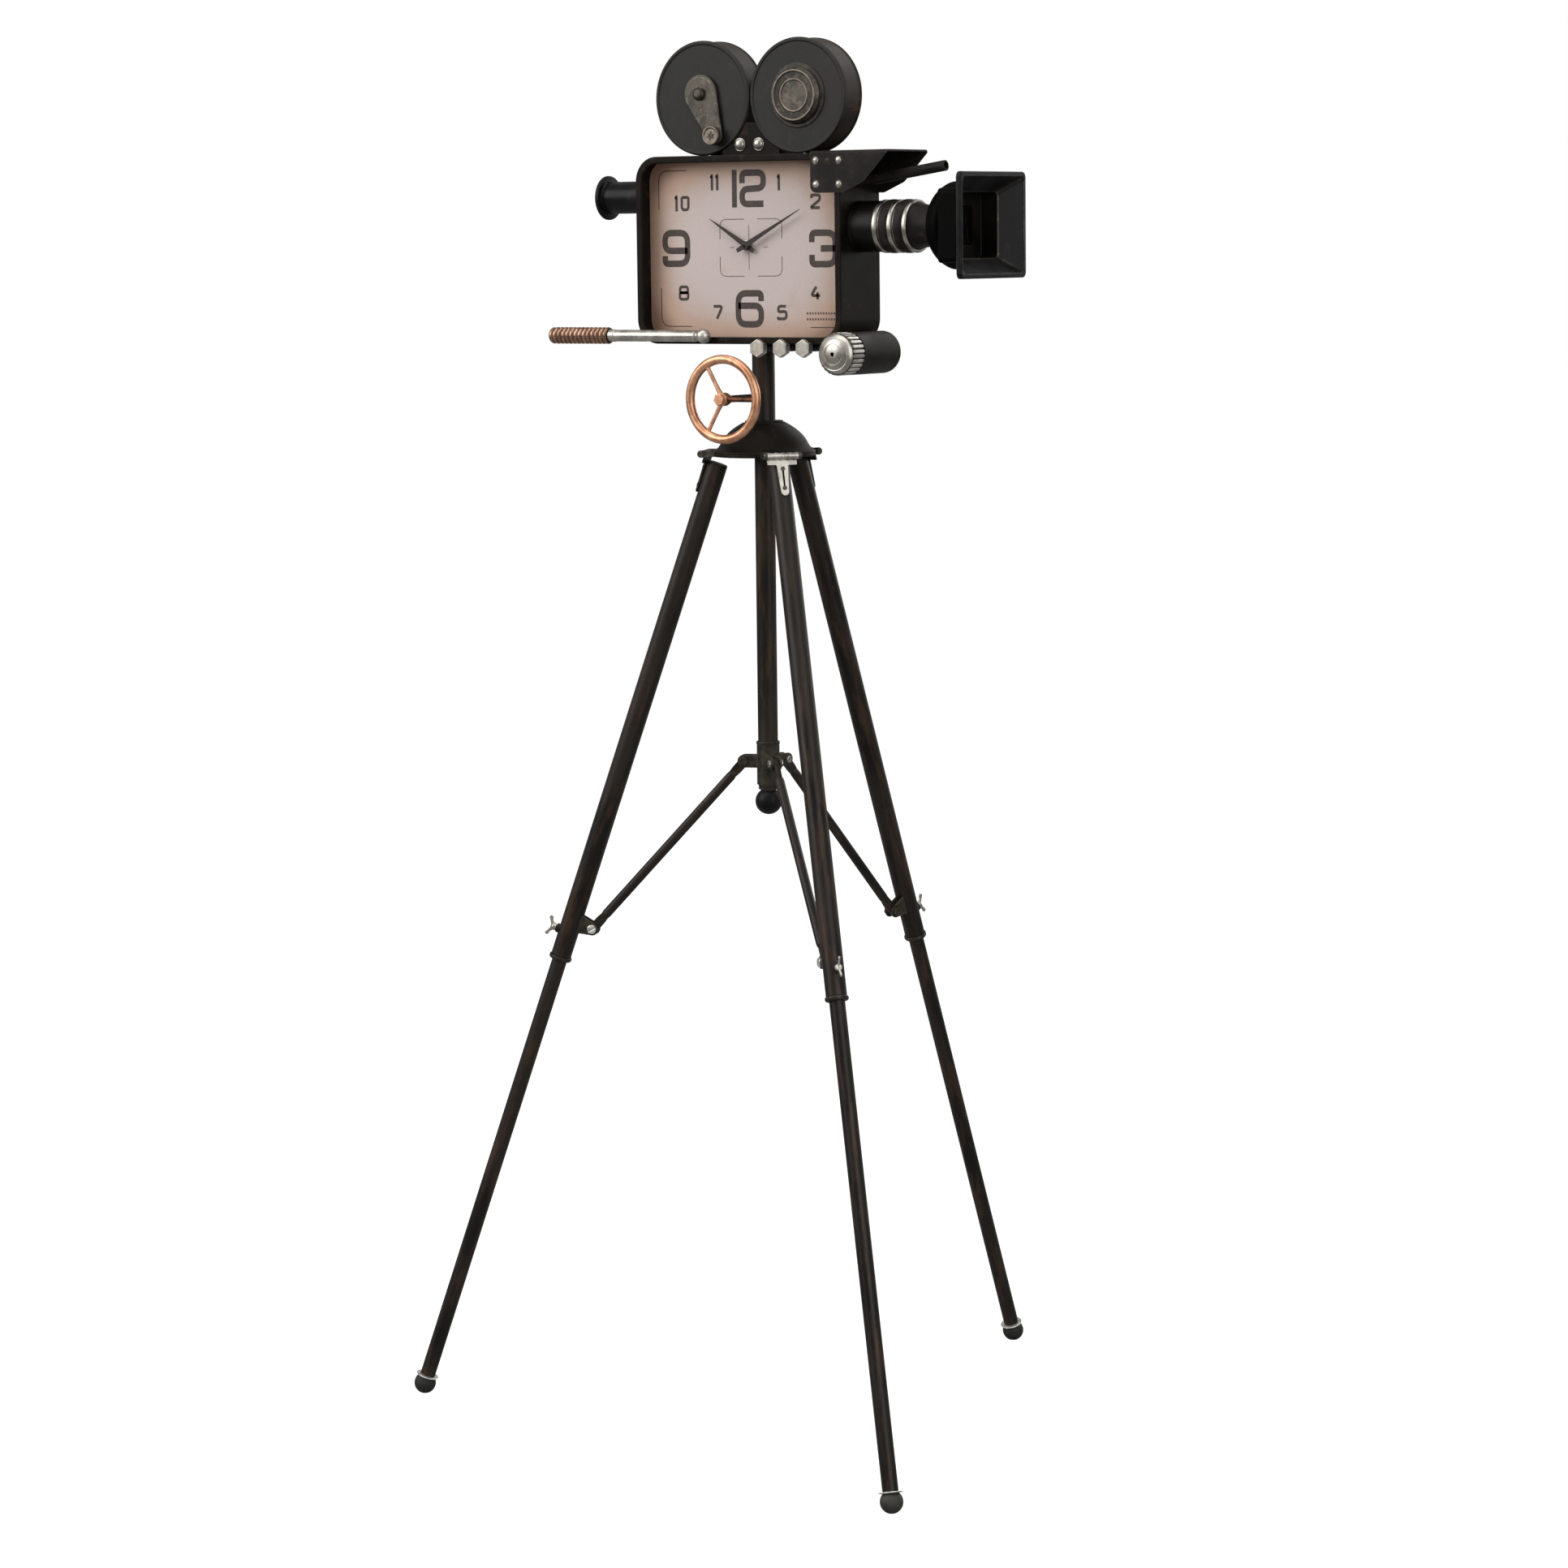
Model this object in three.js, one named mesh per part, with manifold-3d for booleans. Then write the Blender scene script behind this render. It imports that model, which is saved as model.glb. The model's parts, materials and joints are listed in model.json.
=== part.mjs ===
// Floor clock in the shape of an old film camera on a folding tripod.
// Millimetres, +Z up, origin on the floor under the column. The clock face looks along -Y
// and the lens points along +X. Every size below can be changed by itself.
import * as THREE from 'three';
import { mergeVertices } from 'three/addons/utils/BufferGeometryUtils.js';
import Module from 'manifold-3d';

const wasm = await Module();
wasm.setup();

// Fits and cutting
const seatGap = 0.3; // between two pieces that touch
const boreGap = 0.35; // radial, between a shaft and its bore
const overrun = 5; // how far a cutter runs past the face it leaves
const weldDistance = 0.0001; // points closer than this are one point

// How finely round pieces are faceted
const fineSides = 24;
const midSides = 16;
const tubeSides = 12;
const smallSides = 8;
const arcSteps = 3;
const caseArcSteps = 4;
const rimSides = 8;
const ballSteps = 5; // rings over a foot or a ball

// Tripod legs
const legNames = ['left', 'front', 'rear'];
const legSpread = 360 / legNames.length; // degrees between two legs
const firstLegAzimuth = 200.8; // degrees, of the left leg
const legTilt = 18.9; // degrees from the vertical
const hingeRadius = 70.5; // from the column axis to a leg's hinge pin
const hingeToLegAxis = 17.8; // the pin lies outboard of the tube's axis
const hingeAboveTube = 6;
const upperTubeDiameter = 24;
const upperTubeWall = 1.2;
const upperTubeLength = 612.5;
const tubeCap = 2;
const tubeChamfer = 0.8;
const lowerTubeDiameter = 18;
const lowerTubeWall = 1.2;
const lowerTubeLength = 635.5;
const lowerTubeOverlap = 90; // the stretch that stays in the upper tube

// Guide ferrule at the lower end of each upper tube
const ferruleLipDiameter = 27;
const ferruleLipHeight = 5;
const ferruleSpigotLength = 24;

// Foot
const footBallDiameter = 26;
const footFlatHeight = 12; // from the ball's centre down to its worn flat
const footWasherDiameter = 27;
const footWasherHeight = 1.6;
const footWasherLevel = 9.2; // above the ball's centre
const footSpigotLength = 22;

// Fork bracket for the strut, and boss for the clamp screw
const bracketToTubeEnd = 43.5; // from its pivot to the lower end of the tube
const bracketReach = 27; // from the tube's axis to the strut pivot
const bracketRoot = 26; // height where it meets the tube
const earThickness = 2.6;
const earRadius = 7.5;
const clampToTubeEnd = 29.5;
const clampBossDiameter = 11;
const clampBossHeight = 3;
const clampScrewDiameter = 5;
const clampNeckDiameter = 8.5;
const clampNeckLength = 5;
const wingSpan = 27;
const wingHeight = 13;
const wingThickness = 2.6;

// Spreader: three struts on a sleeve that slides on the column
const strutLength = 275; // between its two pivots
const strutDiameter = 11;
const tongueThickness = 6;
const tongueLength = 24;
const tongueSideGap = 0.5;
const pivotPinDiameter = 5;
const sleevePivotRadius = 28;
const sleeveDiameter = 26.4;
const sleeveAbovePivot = 23.5;
const sleeveBelowPivot = 27;
const sleeveBeadHeight = 3;
const sleeveBeadWidth = 0.4;

// Column, post and finial
const columnDiameter = 23;
const columnWall = 2;
const columnBelowPivot = 30.2; // its lower end lies this far below the sleeve's pivots
const finialBallDiameter = 31;
const finialFlangeHeight = 2;
const finialNeckDiameter = 18;
const finialNeckHeight = 1.5;
const finialSpigotLength = 20;
const postDiameter = 26;
const postWall = 2.5;
const postExposed = 88;

// Dome that carries the legs
const domeRadius = 59;
const domeHeight = 40.7;
const domeWall = 4.5;
const flangeHeight = 5.5;
const flangeBelowHinge = 3;
const domeBossRadius = 18;
const socketDepth = 18;
const collarRadius = 22;
const lugThickness = 2.4;
const lugRadius = 4.3;

// Strap hinge of each leg
const barrelDiameter = 8;
const barrelLength = 37;
const hingePinDiameter = 4;
const strapRootWidth = 13.4;
const strapTipWidth = 9.5;
const strapLength = 45.5;
const strapThickness = 2.2;
const strapPlateWidth = 35;
const strapPlateReach = 5.5; // of the wide plate, below the barrel

// Camera body that is the clock's case
const caseWidth = 281;
const caseHeight = 213.5;
const caseFront = -40; // Y of the front lip
const caseDepth = 82;
const caseCentreX = -7.5;
const caseCorner = 28;
const caseWall = 3;
const lipWidth = 8;
const lipThickness = 4;
const caseBevel = 1.5;
const dialRecess = 23; // from the lip's front to the dial
const dialThickness = 2;
const ledgeWidth = 8;
const ledgeThickness = 2.5;
const coverThickness = 1.6;
const coverInset = 2; // behind it, from the case's rear edge
const coverWindow = 66;
const windowCorner = 6;
const trayClearance = 0.4; // round the dial and the cover

// Clockwork and hands
const handCentreRise = 4.25; // above the middle of the case
const movementSize = 56;
const movementDepth = 15.5;
const movementCorner = 5;
const bushDiameter = 8;
const bushLength = 5; // in front of the dial's back
const hourTubeDiameter = 5.2;
const hourTubeLength = 8.4;
const minuteShaftDiameter = 3.4;
const minuteShaftLength = 11.4;
const nutAcrossFlats = 12;
const nutHeight = 2.2;
const handThickness = 0.8;
const hourHandLength = 59;
const hourHandWidth = 7;
const minuteHandLength = 86;
const minuteHandWidth = 6;
const handHub = 5;
const handTail = 14;
const hourAngle = 301.5; // degrees clockwise from twelve
const minuteAngle = 62;
const batteryDiameter = 14.2;
const batteryLength = 50;
const batteryNib = 1.5;

// Lens
const lensDrop = 82.5; // from the top of the case to its axis
const barrelLensDiameter = 57;
const barrelLensLength = 33;
const ringCount = 3;
const ringWidth = 6.5;
const ringDiameter = 59.5;
const ribWidth = 13.3;
const ribDiameter = 60;
const ringSeatDiameter = 52;
const neckDiameter = 47;
const neckLength = 24;
const lensWall = 3;
const bellDiameter = 97;
const bellLength = 27;
const bellRecessDiameter = 62;
const bellRecessDepth = 9;
const hoodLength = 45;
const hoodWidth = 140;
const hoodHeight = 117;
const hoodBackWidth = 92;
const hoodBackHeight = 82;
const hoodLipDepth = 6;
const hoodLipWidth = 6;
const hoodFunnelDepth = 21;
const hoodBackWall = 3;
const hoodWall = 2.3; // round the funnel, behind the lip
const throatWidth = 84;
const throatHeight = 72;
const hoodCorner = 5;

// Eyepiece
const eyepieceDrop = 45.5; // from the top of the case to its axis
const eyepieceDiameter = 37;
const eyepieceLength = 69.5;
const eyeFlangeDiameter = 51;
const eyeFlangeLength = 5;
const eyeBoreDiameter = 26;

// Visor over the lens, and the rod under it
const visorInboard = 38; // from the lens side of the case to its rear edge
const visorReach = 63; // from the lens side of the case to its tip
const visorHeelReach = 5; // to where its lower edge starts to rise
const visorDrop = 44.5; // from the top of the case to its lower edge
const visorPlate = 2;
const visorCorner = 8;
const visorWaistReach = 32;
const visorWaistDrop = 33;
const rodDiameter = 12;
const rodWall = 1.8;
const rodDrop = 33; // from the top of the case to its axis there
const rodTilt = 8.3;
const rodLength = 116;

// Film reels
const reelDiameter = 130;
const reelThickness = 36;
const reelFront = -16;
const leftReelX = -70;
const rightReelX = 61;
const reelEdge = 2.5;
const reelRim = 4;
const reelFaceInset = 1.2;
const reelWall = 2;
const spindleHole = 16;
const hubDiameter = 64;
const hubHeight = 9.5;
const hubRingWidth = 6.5;
const hubDiscDiameter = 34;
const crankRise = 4.7; // of its axis above the middle of the reel
const crankBigRadius = 22;
const crankSmallRadius = 10.5;
const crankReach = 51; // from its axis to its knob
const crankAngle = 21.5; // degrees from straight down, towards the lens
const crankThickness = 3.5;
const crankStudDiameter = 15;
const crankStudHeight = 6;
const crankKnobDiameter = 17;
const crankKnobHeight = 8;
const bracketSpan = 78;
const bracketPeak = 36;
const bracketThickness = 30;
const bracketFront = -14;
const bracketTopShare = 0.7; // of its peak, where its top is cut off
const reelBoltCount = 2;
const reelBoltDiameter = 13;
const reelBoltHeight = 5;
const reelBoltLevel = 12;
const reelBoltSpacing = 25.5;
const reelBoltMiddle = -6;

// Handle bar
const handleY = -50;
const handleHeight = 9.5;
const handleBallX = -48.6;
const handleBallDiameter = 16.5;
const handleStudDiameter = 7;
const handleStudDrop = 3.5; // of its axis below the middle of the ball
const handleRodDiameter = 13.5;
const handleRodLength = 131;
const gripDiameter = 19.5;
const gripLength = 84;
const gripTurns = 14;
const gripGroove = 1.6;
const gripCoreDiameter = 8;

// Bolts under the case
const caseBoltCount = 3;
const caseBoltFirstX = 24;
const caseBoltSpacing = 31;
const caseBoltAcrossFlats = 18;
const caseBoltHeadHeight = 8;
const caseBoltHeadFront = -49;
const caseBoltDiameter = 8;
const caseBoltLength = 46;

// Roller and knurled knob under the lens side of the case
const knobOutboard = 8; // from the lens side of the case to the roller's axis, which lies against its corner
const rollerDiameter = 48;
const rollerLength = 80;
const rollerFront = -40;
const rollerPinDiameter = 16;
const rollerPinLength = 12;
const rollerWall = 3;
const knobLength = 22;
const knobDomeHeight = 9;
const knurlCount = 26;
const knurlDepth = 1.1;
const knobHoleDiameter = 5;
const knobHoleDepth = 5;

// Hand wheel
const wheelDrop = 61; // of its axis below the bottom of the case
const wheelDiameter = 101;
const wheelRimDiameter = 10.4;
const wheelY = -82;
const spokeCount = 3;
const spokeDiameter = 4.6;
const wheelHubDiameter = 15;
const wheelHubLength = 11;
const axleDiameter = 8;
const axleShoulder = 12.5;
const axleShoulderLength = 3;
const axleHeadAcrossFlats = 12;
const axleHeadHeight = 4;

// Finishes
const paint = (color, roughness, metalness) =>
  new THREE.MeshStandardMaterial({ color, roughness, metalness });
const blackMetal = paint(0x1d1a17, 0.5, 0.6);
const wornMetal = paint(0x3a352f, 0.5, 0.7);
const silverMetal = paint(0xb9b6b0, 0.35, 0.9);
const copperMetal = paint(0xb4704a, 0.4, 0.9);
const dialPaper = paint(0xc9b3a4, 0.85, 0);
const handPaint = paint(0x2b2320, 0.6, 0.2);
const blackRubber = paint(0x171615, 0.75, 0);
const blackPlastic = paint(0x1c1c1d, 0.6, 0);
const cellSleeve = paint(0x5f6a70, 0.5, 0.3);

const half = (value) => value / 2;
const toRadians = THREE.MathUtils.degToRad;

// Solids

function toSolid(geometry) {
  const bare = geometry.clone();
  bare.deleteAttribute('normal');
  bare.deleteAttribute('uv');
  const merged = mergeVertices(bare, weldDistance);
  const points = merged.getAttribute('position').array;
  const corners = merged.index.array;
  const kept = [];
  let volume = 0;
  for (let i = 0; i < corners.length; i += 3) {
    const [a, b, c] = [corners[i], corners[i + 1], corners[i + 2]];
    if (a === b || b === c || c === a) continue;
    kept.push(a, b, c);
    const [p, q, r] = [a, b, c].map((k) => new THREE.Vector3().fromArray(points, k * 3));
    volume += p.dot(q.cross(r));
  }
  if (volume < 0) {
    for (let i = 0; i < kept.length; i += 3) [kept[i], kept[i + 1]] = [kept[i + 1], kept[i]];
  }
  const mesh = new wasm.Mesh({
    numProp: 3,
    vertProperties: new Float32Array(points),
    triVerts: new Uint32Array(kept),
  });
  return new wasm.Manifold(mesh);
}

const joined = (...solids) => solids.reduce((all, next) => all.add(next));
const cut = (solid, ...cutters) => cutters.reduce((rest, next) => rest.subtract(next), solid);

function toMesh(name, solid, material) {
  const { vertProperties, triVerts } = solid.getMesh();
  const geometry = new THREE.BufferGeometry();
  geometry.setAttribute('position', new THREE.BufferAttribute(new Float32Array(vertProperties), 3));
  geometry.setIndex(new THREE.BufferAttribute(new Uint32Array(triVerts), 1));
  geometry.computeVertexNormals();
  const mesh = new THREE.Mesh(geometry, material);
  mesh.name = name;
  return mesh;
}

// A profile of [radius, distance along the axis] turned about an axis: x, y, z or front (-Y).
const turnTo = {
  x: (geometry) => geometry.rotateZ(-Math.PI / 2),
  y: (geometry) => geometry,
  z: (geometry) => geometry.rotateX(Math.PI / 2),
  front: (geometry) => geometry.rotateX(Math.PI),
};

function turnedGeometry(profile, axis = 'z', sides = tubeSides) {
  const points = profile.map(([radius, along]) => new THREE.Vector2(radius, along));
  const open = profile[0][0] > 0 || profile[profile.length - 1][0] > 0; // the outline closes on itself
  if (open) points.push(points[0].clone());
  return turnTo[axis](new THREE.LatheGeometry(points, sides));
}

const turned = (profile, axis, sides) => toSolid(turnedGeometry(profile, axis, sides));

const rod = (radius, from, to, axis, sides) =>
  turned([[0, from], [radius, from], [radius, to], [0, to]], axis, sides);

const tube = (inner, outer, from, to, axis, sides) =>
  turned([[inner, from], [outer, from], [outer, to], [inner, to]], axis, sides);

const moved = (solid, x = 0, y = 0, z = 0) => solid.translate([x, y, z]);

// An outline in X and Z, given its thickness towards -Y from the plane y = back.
function plate(shape, thickness, back, bevel = 0, steps = arcSteps) {
  const geometry = new THREE.ExtrudeGeometry(shape, {
    depth: thickness - bevel * 2,
    bevelEnabled: bevel > 0,
    bevelThickness: bevel,
    bevelSize: bevel,
    bevelOffset: -bevel,
    bevelSegments: 1,
    curveSegments: steps,
  });
  geometry.translate(0, 0, bevel);
  geometry.rotateX(Math.PI / 2);
  geometry.translate(0, back, 0);
  return toSolid(geometry);
}

function box(width, depth, height, x = 0, y = 0, z = 0) {
  return toSolid(new THREE.BoxGeometry(width, depth, height).translate(x, y, z));
}

function roundedRectangle(width, height, radius, x = 0, y = 0) {
  const shape = new THREE.Shape();
  const [w, h] = [half(width) - radius, half(height) - radius];
  shape.absarc(x + w, y + h, radius, 0, Math.PI / 2);
  shape.absarc(x - w, y + h, radius, Math.PI / 2, Math.PI);
  shape.absarc(x - w, y - h, radius, Math.PI, Math.PI * 1.5);
  shape.absarc(x + w, y - h, radius, Math.PI * 1.5, Math.PI * 2);
  return shape;
}

function polygon(count, radius, turn = 0) {
  const corners = Array.from({ length: count }, (unused, i) => {
    const angle = turn + (i * Math.PI * 2) / count;
    return new THREE.Vector2(Math.cos(angle) * radius, Math.sin(angle) * radius);
  });
  return new THREE.Shape(corners);
}

const hexagon = (acrossFlats) => polygon(6, half(acrossFlats) / Math.cos(Math.PI / 6), Math.PI / 6);

// Rounded rectangles across X, one after another, joined by flat sides.
function lofted(sections) {
  const rings = sections.map(({ x, width, height, radius }) => {
    const outline = roundedRectangle(width, height, radius).getPoints(arcSteps).slice(0, -1);
    return outline.map((p) => new THREE.Vector3(x, p.x, p.y));
  });
  const count = rings[0].length;
  const index = [];
  for (let s = 0; s + 1 < rings.length; s += 1) {
    for (let i = 0; i < count; i += 1) {
      const [a, b] = [s * count + i, s * count + ((i + 1) % count)];
      index.push(a, b, a + count, b, b + count, a + count);
    }
  }
  const last = (rings.length - 1) * count;
  for (let i = 1; i + 1 < count; i += 1) {
    index.push(0, i + 1, i, last, last + i, last + i + 1);
  }
  const geometry = new THREE.BufferGeometry().setFromPoints(rings.flat());
  geometry.setIndex(index);
  return toSolid(geometry);
}

// Places that several pieces share

const upperRadius = half(upperTubeDiameter);
const upperBore = upperRadius - upperTubeWall;
const lowerRadius = half(lowerTubeDiameter);
const lowerBore = lowerRadius - lowerTubeWall;
const legSpan = hingeAboveTube + upperTubeLength - lowerTubeOverlap + lowerTubeLength
  + seatGap + footWasherLevel + footWasherHeight; // hinge pin to the foot's centre
const tilt = toRadians(legTilt);

// A leg's own axes are X outboard and Z up along the tube, from the hinge pin.
function fromLeg(x, z) {
  return {
    radius: hingeRadius + x * Math.cos(tilt) - z * Math.sin(tilt),
    rise: x * Math.sin(tilt) + z * Math.cos(tilt),
  };
}

const turnToLeg = (i) => firstLegAzimuth + i * legSpread; // degrees
const bracketDrop = upperTubeLength - bracketToTubeEnd; // below the tube's top
const clampDrop = upperTubeLength - clampToTubeEnd;
const hingeLevel = footFlatHeight - fromLeg(-hingeToLegAxis, -legSpan).rise;
const forkGap = tongueThickness + tongueSideGap * 2;
const outerPivot = fromLeg(-hingeToLegAxis - bracketReach, -hingeAboveTube - bracketDrop);
const outerPivotLevel = hingeLevel + outerPivot.rise;
const strutRun = outerPivot.radius - sleevePivotRadius;
const sleevePivotLevel = outerPivotLevel + Math.sqrt(strutLength ** 2 - strutRun ** 2);
const strutLean = Math.asin(strutRun / strutLength);

const domeBottom = hingeLevel - flangeBelowHinge;
const domeTop = domeBottom + domeHeight;
const socketFloor = domeTop - socketDepth;
const columnTop = socketFloor - seatGap;
const columnBottom = sleevePivotLevel - columnBelowPivot;
const columnLength = columnTop - columnBottom;
const caseBottom = domeTop + postExposed;

const caseRight = caseCentreX + half(caseWidth);
const caseLeft = caseCentreX - half(caseWidth);
const caseRear = caseFront + caseDepth;
const lensHeight = caseHeight - lensDrop; // these heights are above the bottom of the case
const eyepieceHeight = caseHeight - eyepieceDrop;
const rodHeight = caseHeight - rodDrop;
const handCentreHeight = half(caseHeight) + handCentreRise;
const knobX = caseRight + knobOutboard;
const rollerOut = knobOutboard + caseCorner;
const rollerReach = caseCorner + half(rollerDiameter) + seatGap;
const knobDrop = Math.sqrt(rollerReach ** 2 - rollerOut ** 2) - caseCorner;
const dialFront = caseFront + dialRecess;
const dialBack = dialFront + dialThickness;

// Tripod

function fork(pivotX, rootHeight) {
  const shape = new THREE.Shape();
  shape.moveTo(0, half(rootHeight));
  shape.absarc(pivotX, 0, earRadius, Math.PI / 2, Math.PI * 1.5);
  shape.lineTo(0, -half(rootHeight));
  const inner = half(forkGap);
  return joined(plate(shape, earThickness, inner + earThickness), plate(shape, earThickness, -inner));
}

function upperLeg() {
  const shell = turned([
    [0, 0], [upperRadius - tubeChamfer, 0], [upperRadius, -tubeChamfer], [upperRadius, -upperTubeLength],
    [0, -upperTubeLength],
  ]);
  const ears = moved(fork(-bracketReach, bracketRoot), 0, 0, -bracketDrop);
  const boss = moved(
    rod(half(clampBossDiameter), 0, upperRadius + clampBossHeight, 'x', smallSides), 0, 0, -clampDrop,
  );
  const bore = rod(upperBore, -tubeCap, -upperTubeLength - overrun);
  const screwHole = moved(
    rod(half(clampScrewDiameter) + boreGap, 0, upperRadius + clampBossHeight + overrun, 'x', smallSides),
    0, 0, -clampDrop,
  );
  const pinHole = moved(
    rod(half(pivotPinDiameter) + boreGap, -half(forkGap) - earThickness - overrun,
      half(forkGap) + earThickness + overrun, 'y', smallSides),
    -bracketReach, 0, -bracketDrop,
  );
  return cut(joined(shell, ears, boss), bore, screwHole, pinHole);
}

function ferrule() {
  const bore = lowerRadius + boreGap;
  const spigot = upperBore - boreGap;
  return turned([
    [bore, ferruleSpigotLength], [spigot, ferruleSpigotLength], [spigot, -seatGap],
    [half(ferruleLipDiameter), -seatGap], [half(ferruleLipDiameter), -seatGap - ferruleLipHeight],
    [bore, -seatGap - ferruleLipHeight],
  ]);
}

function foot() {
  const ball = half(footBallDiameter);
  const washer = half(footWasherDiameter);
  const spigot = lowerBore - boreGap;
  const washerTop = footWasherLevel + footWasherHeight;
  const neck = Math.sqrt(ball ** 2 - footWasherLevel ** 2);
  const lowest = -Math.PI / 2;
  const highest = Math.asin(footWasherLevel / ball);
  const profile = [[0, -ball]];
  for (let i = 1; i < ballSteps; i += 1) {
    const angle = lowest + ((highest - lowest) * i) / ballSteps;
    profile.push([Math.cos(angle) * ball, Math.sin(angle) * ball]);
  }
  profile.push(
    [neck, footWasherLevel], [washer, footWasherLevel], [washer, washerTop], [spigot, washerTop],
    [spigot, washerTop + footSpigotLength], [0, washerTop + footSpigotLength],
  );
  const floor = new THREE.BoxGeometry(footBallDiameter * 2, footBallDiameter * 2, footBallDiameter);
  floor.translate(0, 0, -footFlatHeight - ball);
  floor.rotateY(tilt);
  return cut(turned(profile), toSolid(floor));
}

function strut() {
  const outline = new THREE.Shape();
  const tip = half(strutDiameter);
  outline.absarc(0, 0, tip, 0, Math.PI);
  outline.lineTo(-tip, -tongueLength);
  outline.lineTo(tip, -tongueLength);
  const tongue = plate(outline, tongueThickness, half(tongueThickness));
  const bar = rod(tip, -tongueLength + tip, -strutLength + tongueLength - tip);
  const eye = rod(half(pivotPinDiameter) + boreGap, -tongueThickness, tongueThickness, 'y', smallSides);
  const far = moved(tongue.rotate([0, 180, 0]), 0, 0, -strutLength);
  return cut(joined(tongue, bar, far), eye, moved(eye, 0, 0, -strutLength));
}

function legHinge() {
  const face = upperRadius + seatGap - hingeToLegAxis; // the strap lies along the tube
  const end = half(barrelLength);
  const outline = new THREE.Shape();
  const [side, stem] = [half(strapPlateWidth), half(strapRootWidth)];
  const plateEnd = -half(barrelDiameter) - strapPlateReach;
  outline.moveTo(side, half(strapThickness));
  outline.lineTo(-side, half(strapThickness));
  outline.lineTo(-side, plateEnd);
  outline.lineTo(-stem, plateEnd);
  outline.absarc(0, half(strapTipWidth) - strapLength, half(strapTipWidth), Math.PI, Math.PI * 2);
  outline.lineTo(stem, plateEnd);
  outline.lineTo(side, plateEnd);
  const strap = plate(outline, strapThickness, 0).rotate([0, 0, 90]);
  const barrel = rod(half(barrelDiameter), -end, end, 'y', smallSides);
  const bore = rod(half(hingePinDiameter) + boreGap, -end - overrun, end + overrun, 'y', smallSides);
  return cut(joined(barrel, moved(strap, face)), bore);
}

function clampScrew() {
  const seat = upperRadius + clampBossHeight + seatGap;
  const tip = lowerRadius + seatGap;
  const shank = rod(half(clampScrewDiameter), tip, seat + clampNeckLength, 'x', smallSides);
  const neck = rod(half(clampNeckDiameter), seat, seat + clampNeckLength, 'x', smallSides);
  const wings = new THREE.Shape();
  const base = seat + clampNeckLength * 0.6;
  wings.moveTo(base, half(clampNeckDiameter) * 0.8);
  wings.lineTo(base + wingHeight * 0.35, half(wingSpan) * 0.8);
  wings.absarc(base + wingHeight * 0.72, half(wingSpan) * 0.82, wingHeight * 0.28, Math.PI / 2, 0, true);
  wings.lineTo(base + wingHeight * 0.5, 0);
  wings.absarc(base + wingHeight * 0.72, -half(wingSpan) * 0.82, wingHeight * 0.28, 0, -Math.PI / 2, true);
  wings.lineTo(base + wingHeight * 0.35, -half(wingSpan) * 0.8);
  wings.lineTo(base, -half(clampNeckDiameter) * 0.8);
  return joined(shank, neck, plate(wings, wingThickness, half(wingThickness)));
}

function spreaderSleeve() {
  const outer = half(sleeveDiameter);
  const bead = outer + sleeveBeadWidth;
  const profile = [
    [0, -sleeveBelowPivot], [outer, -sleeveBelowPivot], [outer, sleeveAbovePivot - sleeveBeadHeight],
    [bead, sleeveAbovePivot - sleeveBeadHeight], [bead, sleeveAbovePivot], [0, sleeveAbovePivot],
  ];
  const forks = legNames.map((unused, i) => {
    const ears = fork(-sleevePivotRadius, earRadius * 2);
    const reach = half(forkGap) + earThickness;
    const pin = moved(rod(half(pivotPinDiameter), -reach, reach, 'y', smallSides), -sleevePivotRadius);
    return joined(ears, pin).rotate([0, 0, 180 + turnToLeg(i)]);
  });
  const bore = rod(half(columnDiameter) + boreGap, -sleeveBelowPivot - overrun, sleeveAbovePivot + overrun);
  return cut(joined(turned(profile), ...forks), bore);
}

// Radius and height of the dome's skin, as shares of its radius and height above the flange
const domeSkinShares = [
  [0.98, 0.03], [0.91, 0.12], [0.82, 0.36], [0.69, 0.62], [0.43, 0.92],
];
const domeHollowShares = [[0.86, 0.08], [0.5, 0.7]];

function dome() {
  const skin = domeHeight - flangeHeight;
  const postBore = half(postDiameter) + boreGap;
  const columnBore = half(columnDiameter) + boreGap;
  const outer = domeSkinShares.map(([r, h]) => [r * domeRadius, flangeHeight + h * skin]);
  const inner = domeHollowShares.map(([r, h]) => [r * domeRadius, flangeHeight + h * skin - domeWall]);
  const profile = [
    [postBore, domeHeight], [collarRadius, domeHeight], [collarRadius, domeHeight - skin * 0.06],
    ...outer.reverse(),
    [domeRadius, flangeHeight], [domeRadius, 0], [domeRadius - domeWall, 0],
    ...inner,
    [domeBossRadius, domeHeight - socketDepth - domeWall],
    [domeBossRadius, 0], [columnBore, 0],
    [columnBore, domeHeight - socketDepth], [postBore, domeHeight - socketDepth],
  ];
  const lugShape = new THREE.Shape();
  const pinLevel = flangeBelowHinge;
  lugShape.moveTo(domeRadius - domeWall * 1.7, pinLevel + lugRadius);
  lugShape.lineTo(domeRadius - domeWall * 1.7, 0);
  lugShape.absarc(hingeRadius, pinLevel, lugRadius, -Math.PI / 2, Math.PI / 2);
  const lugInner = half(barrelLength) + seatGap;
  const lugs = legNames.map((unused, i) => {
    const pin = moved(
      rod(half(hingePinDiameter), -lugInner - lugThickness, lugInner + lugThickness, 'y', smallSides),
      hingeRadius, 0, pinLevel,
    );
    return joined(
      plate(lugShape, lugThickness, lugInner + lugThickness), plate(lugShape, lugThickness, -lugInner), pin,
    ).rotate([0, 0, turnToLeg(i)]);
  });
  return joined(turned(profile, 'z', fineSides), ...lugs);
}

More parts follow.
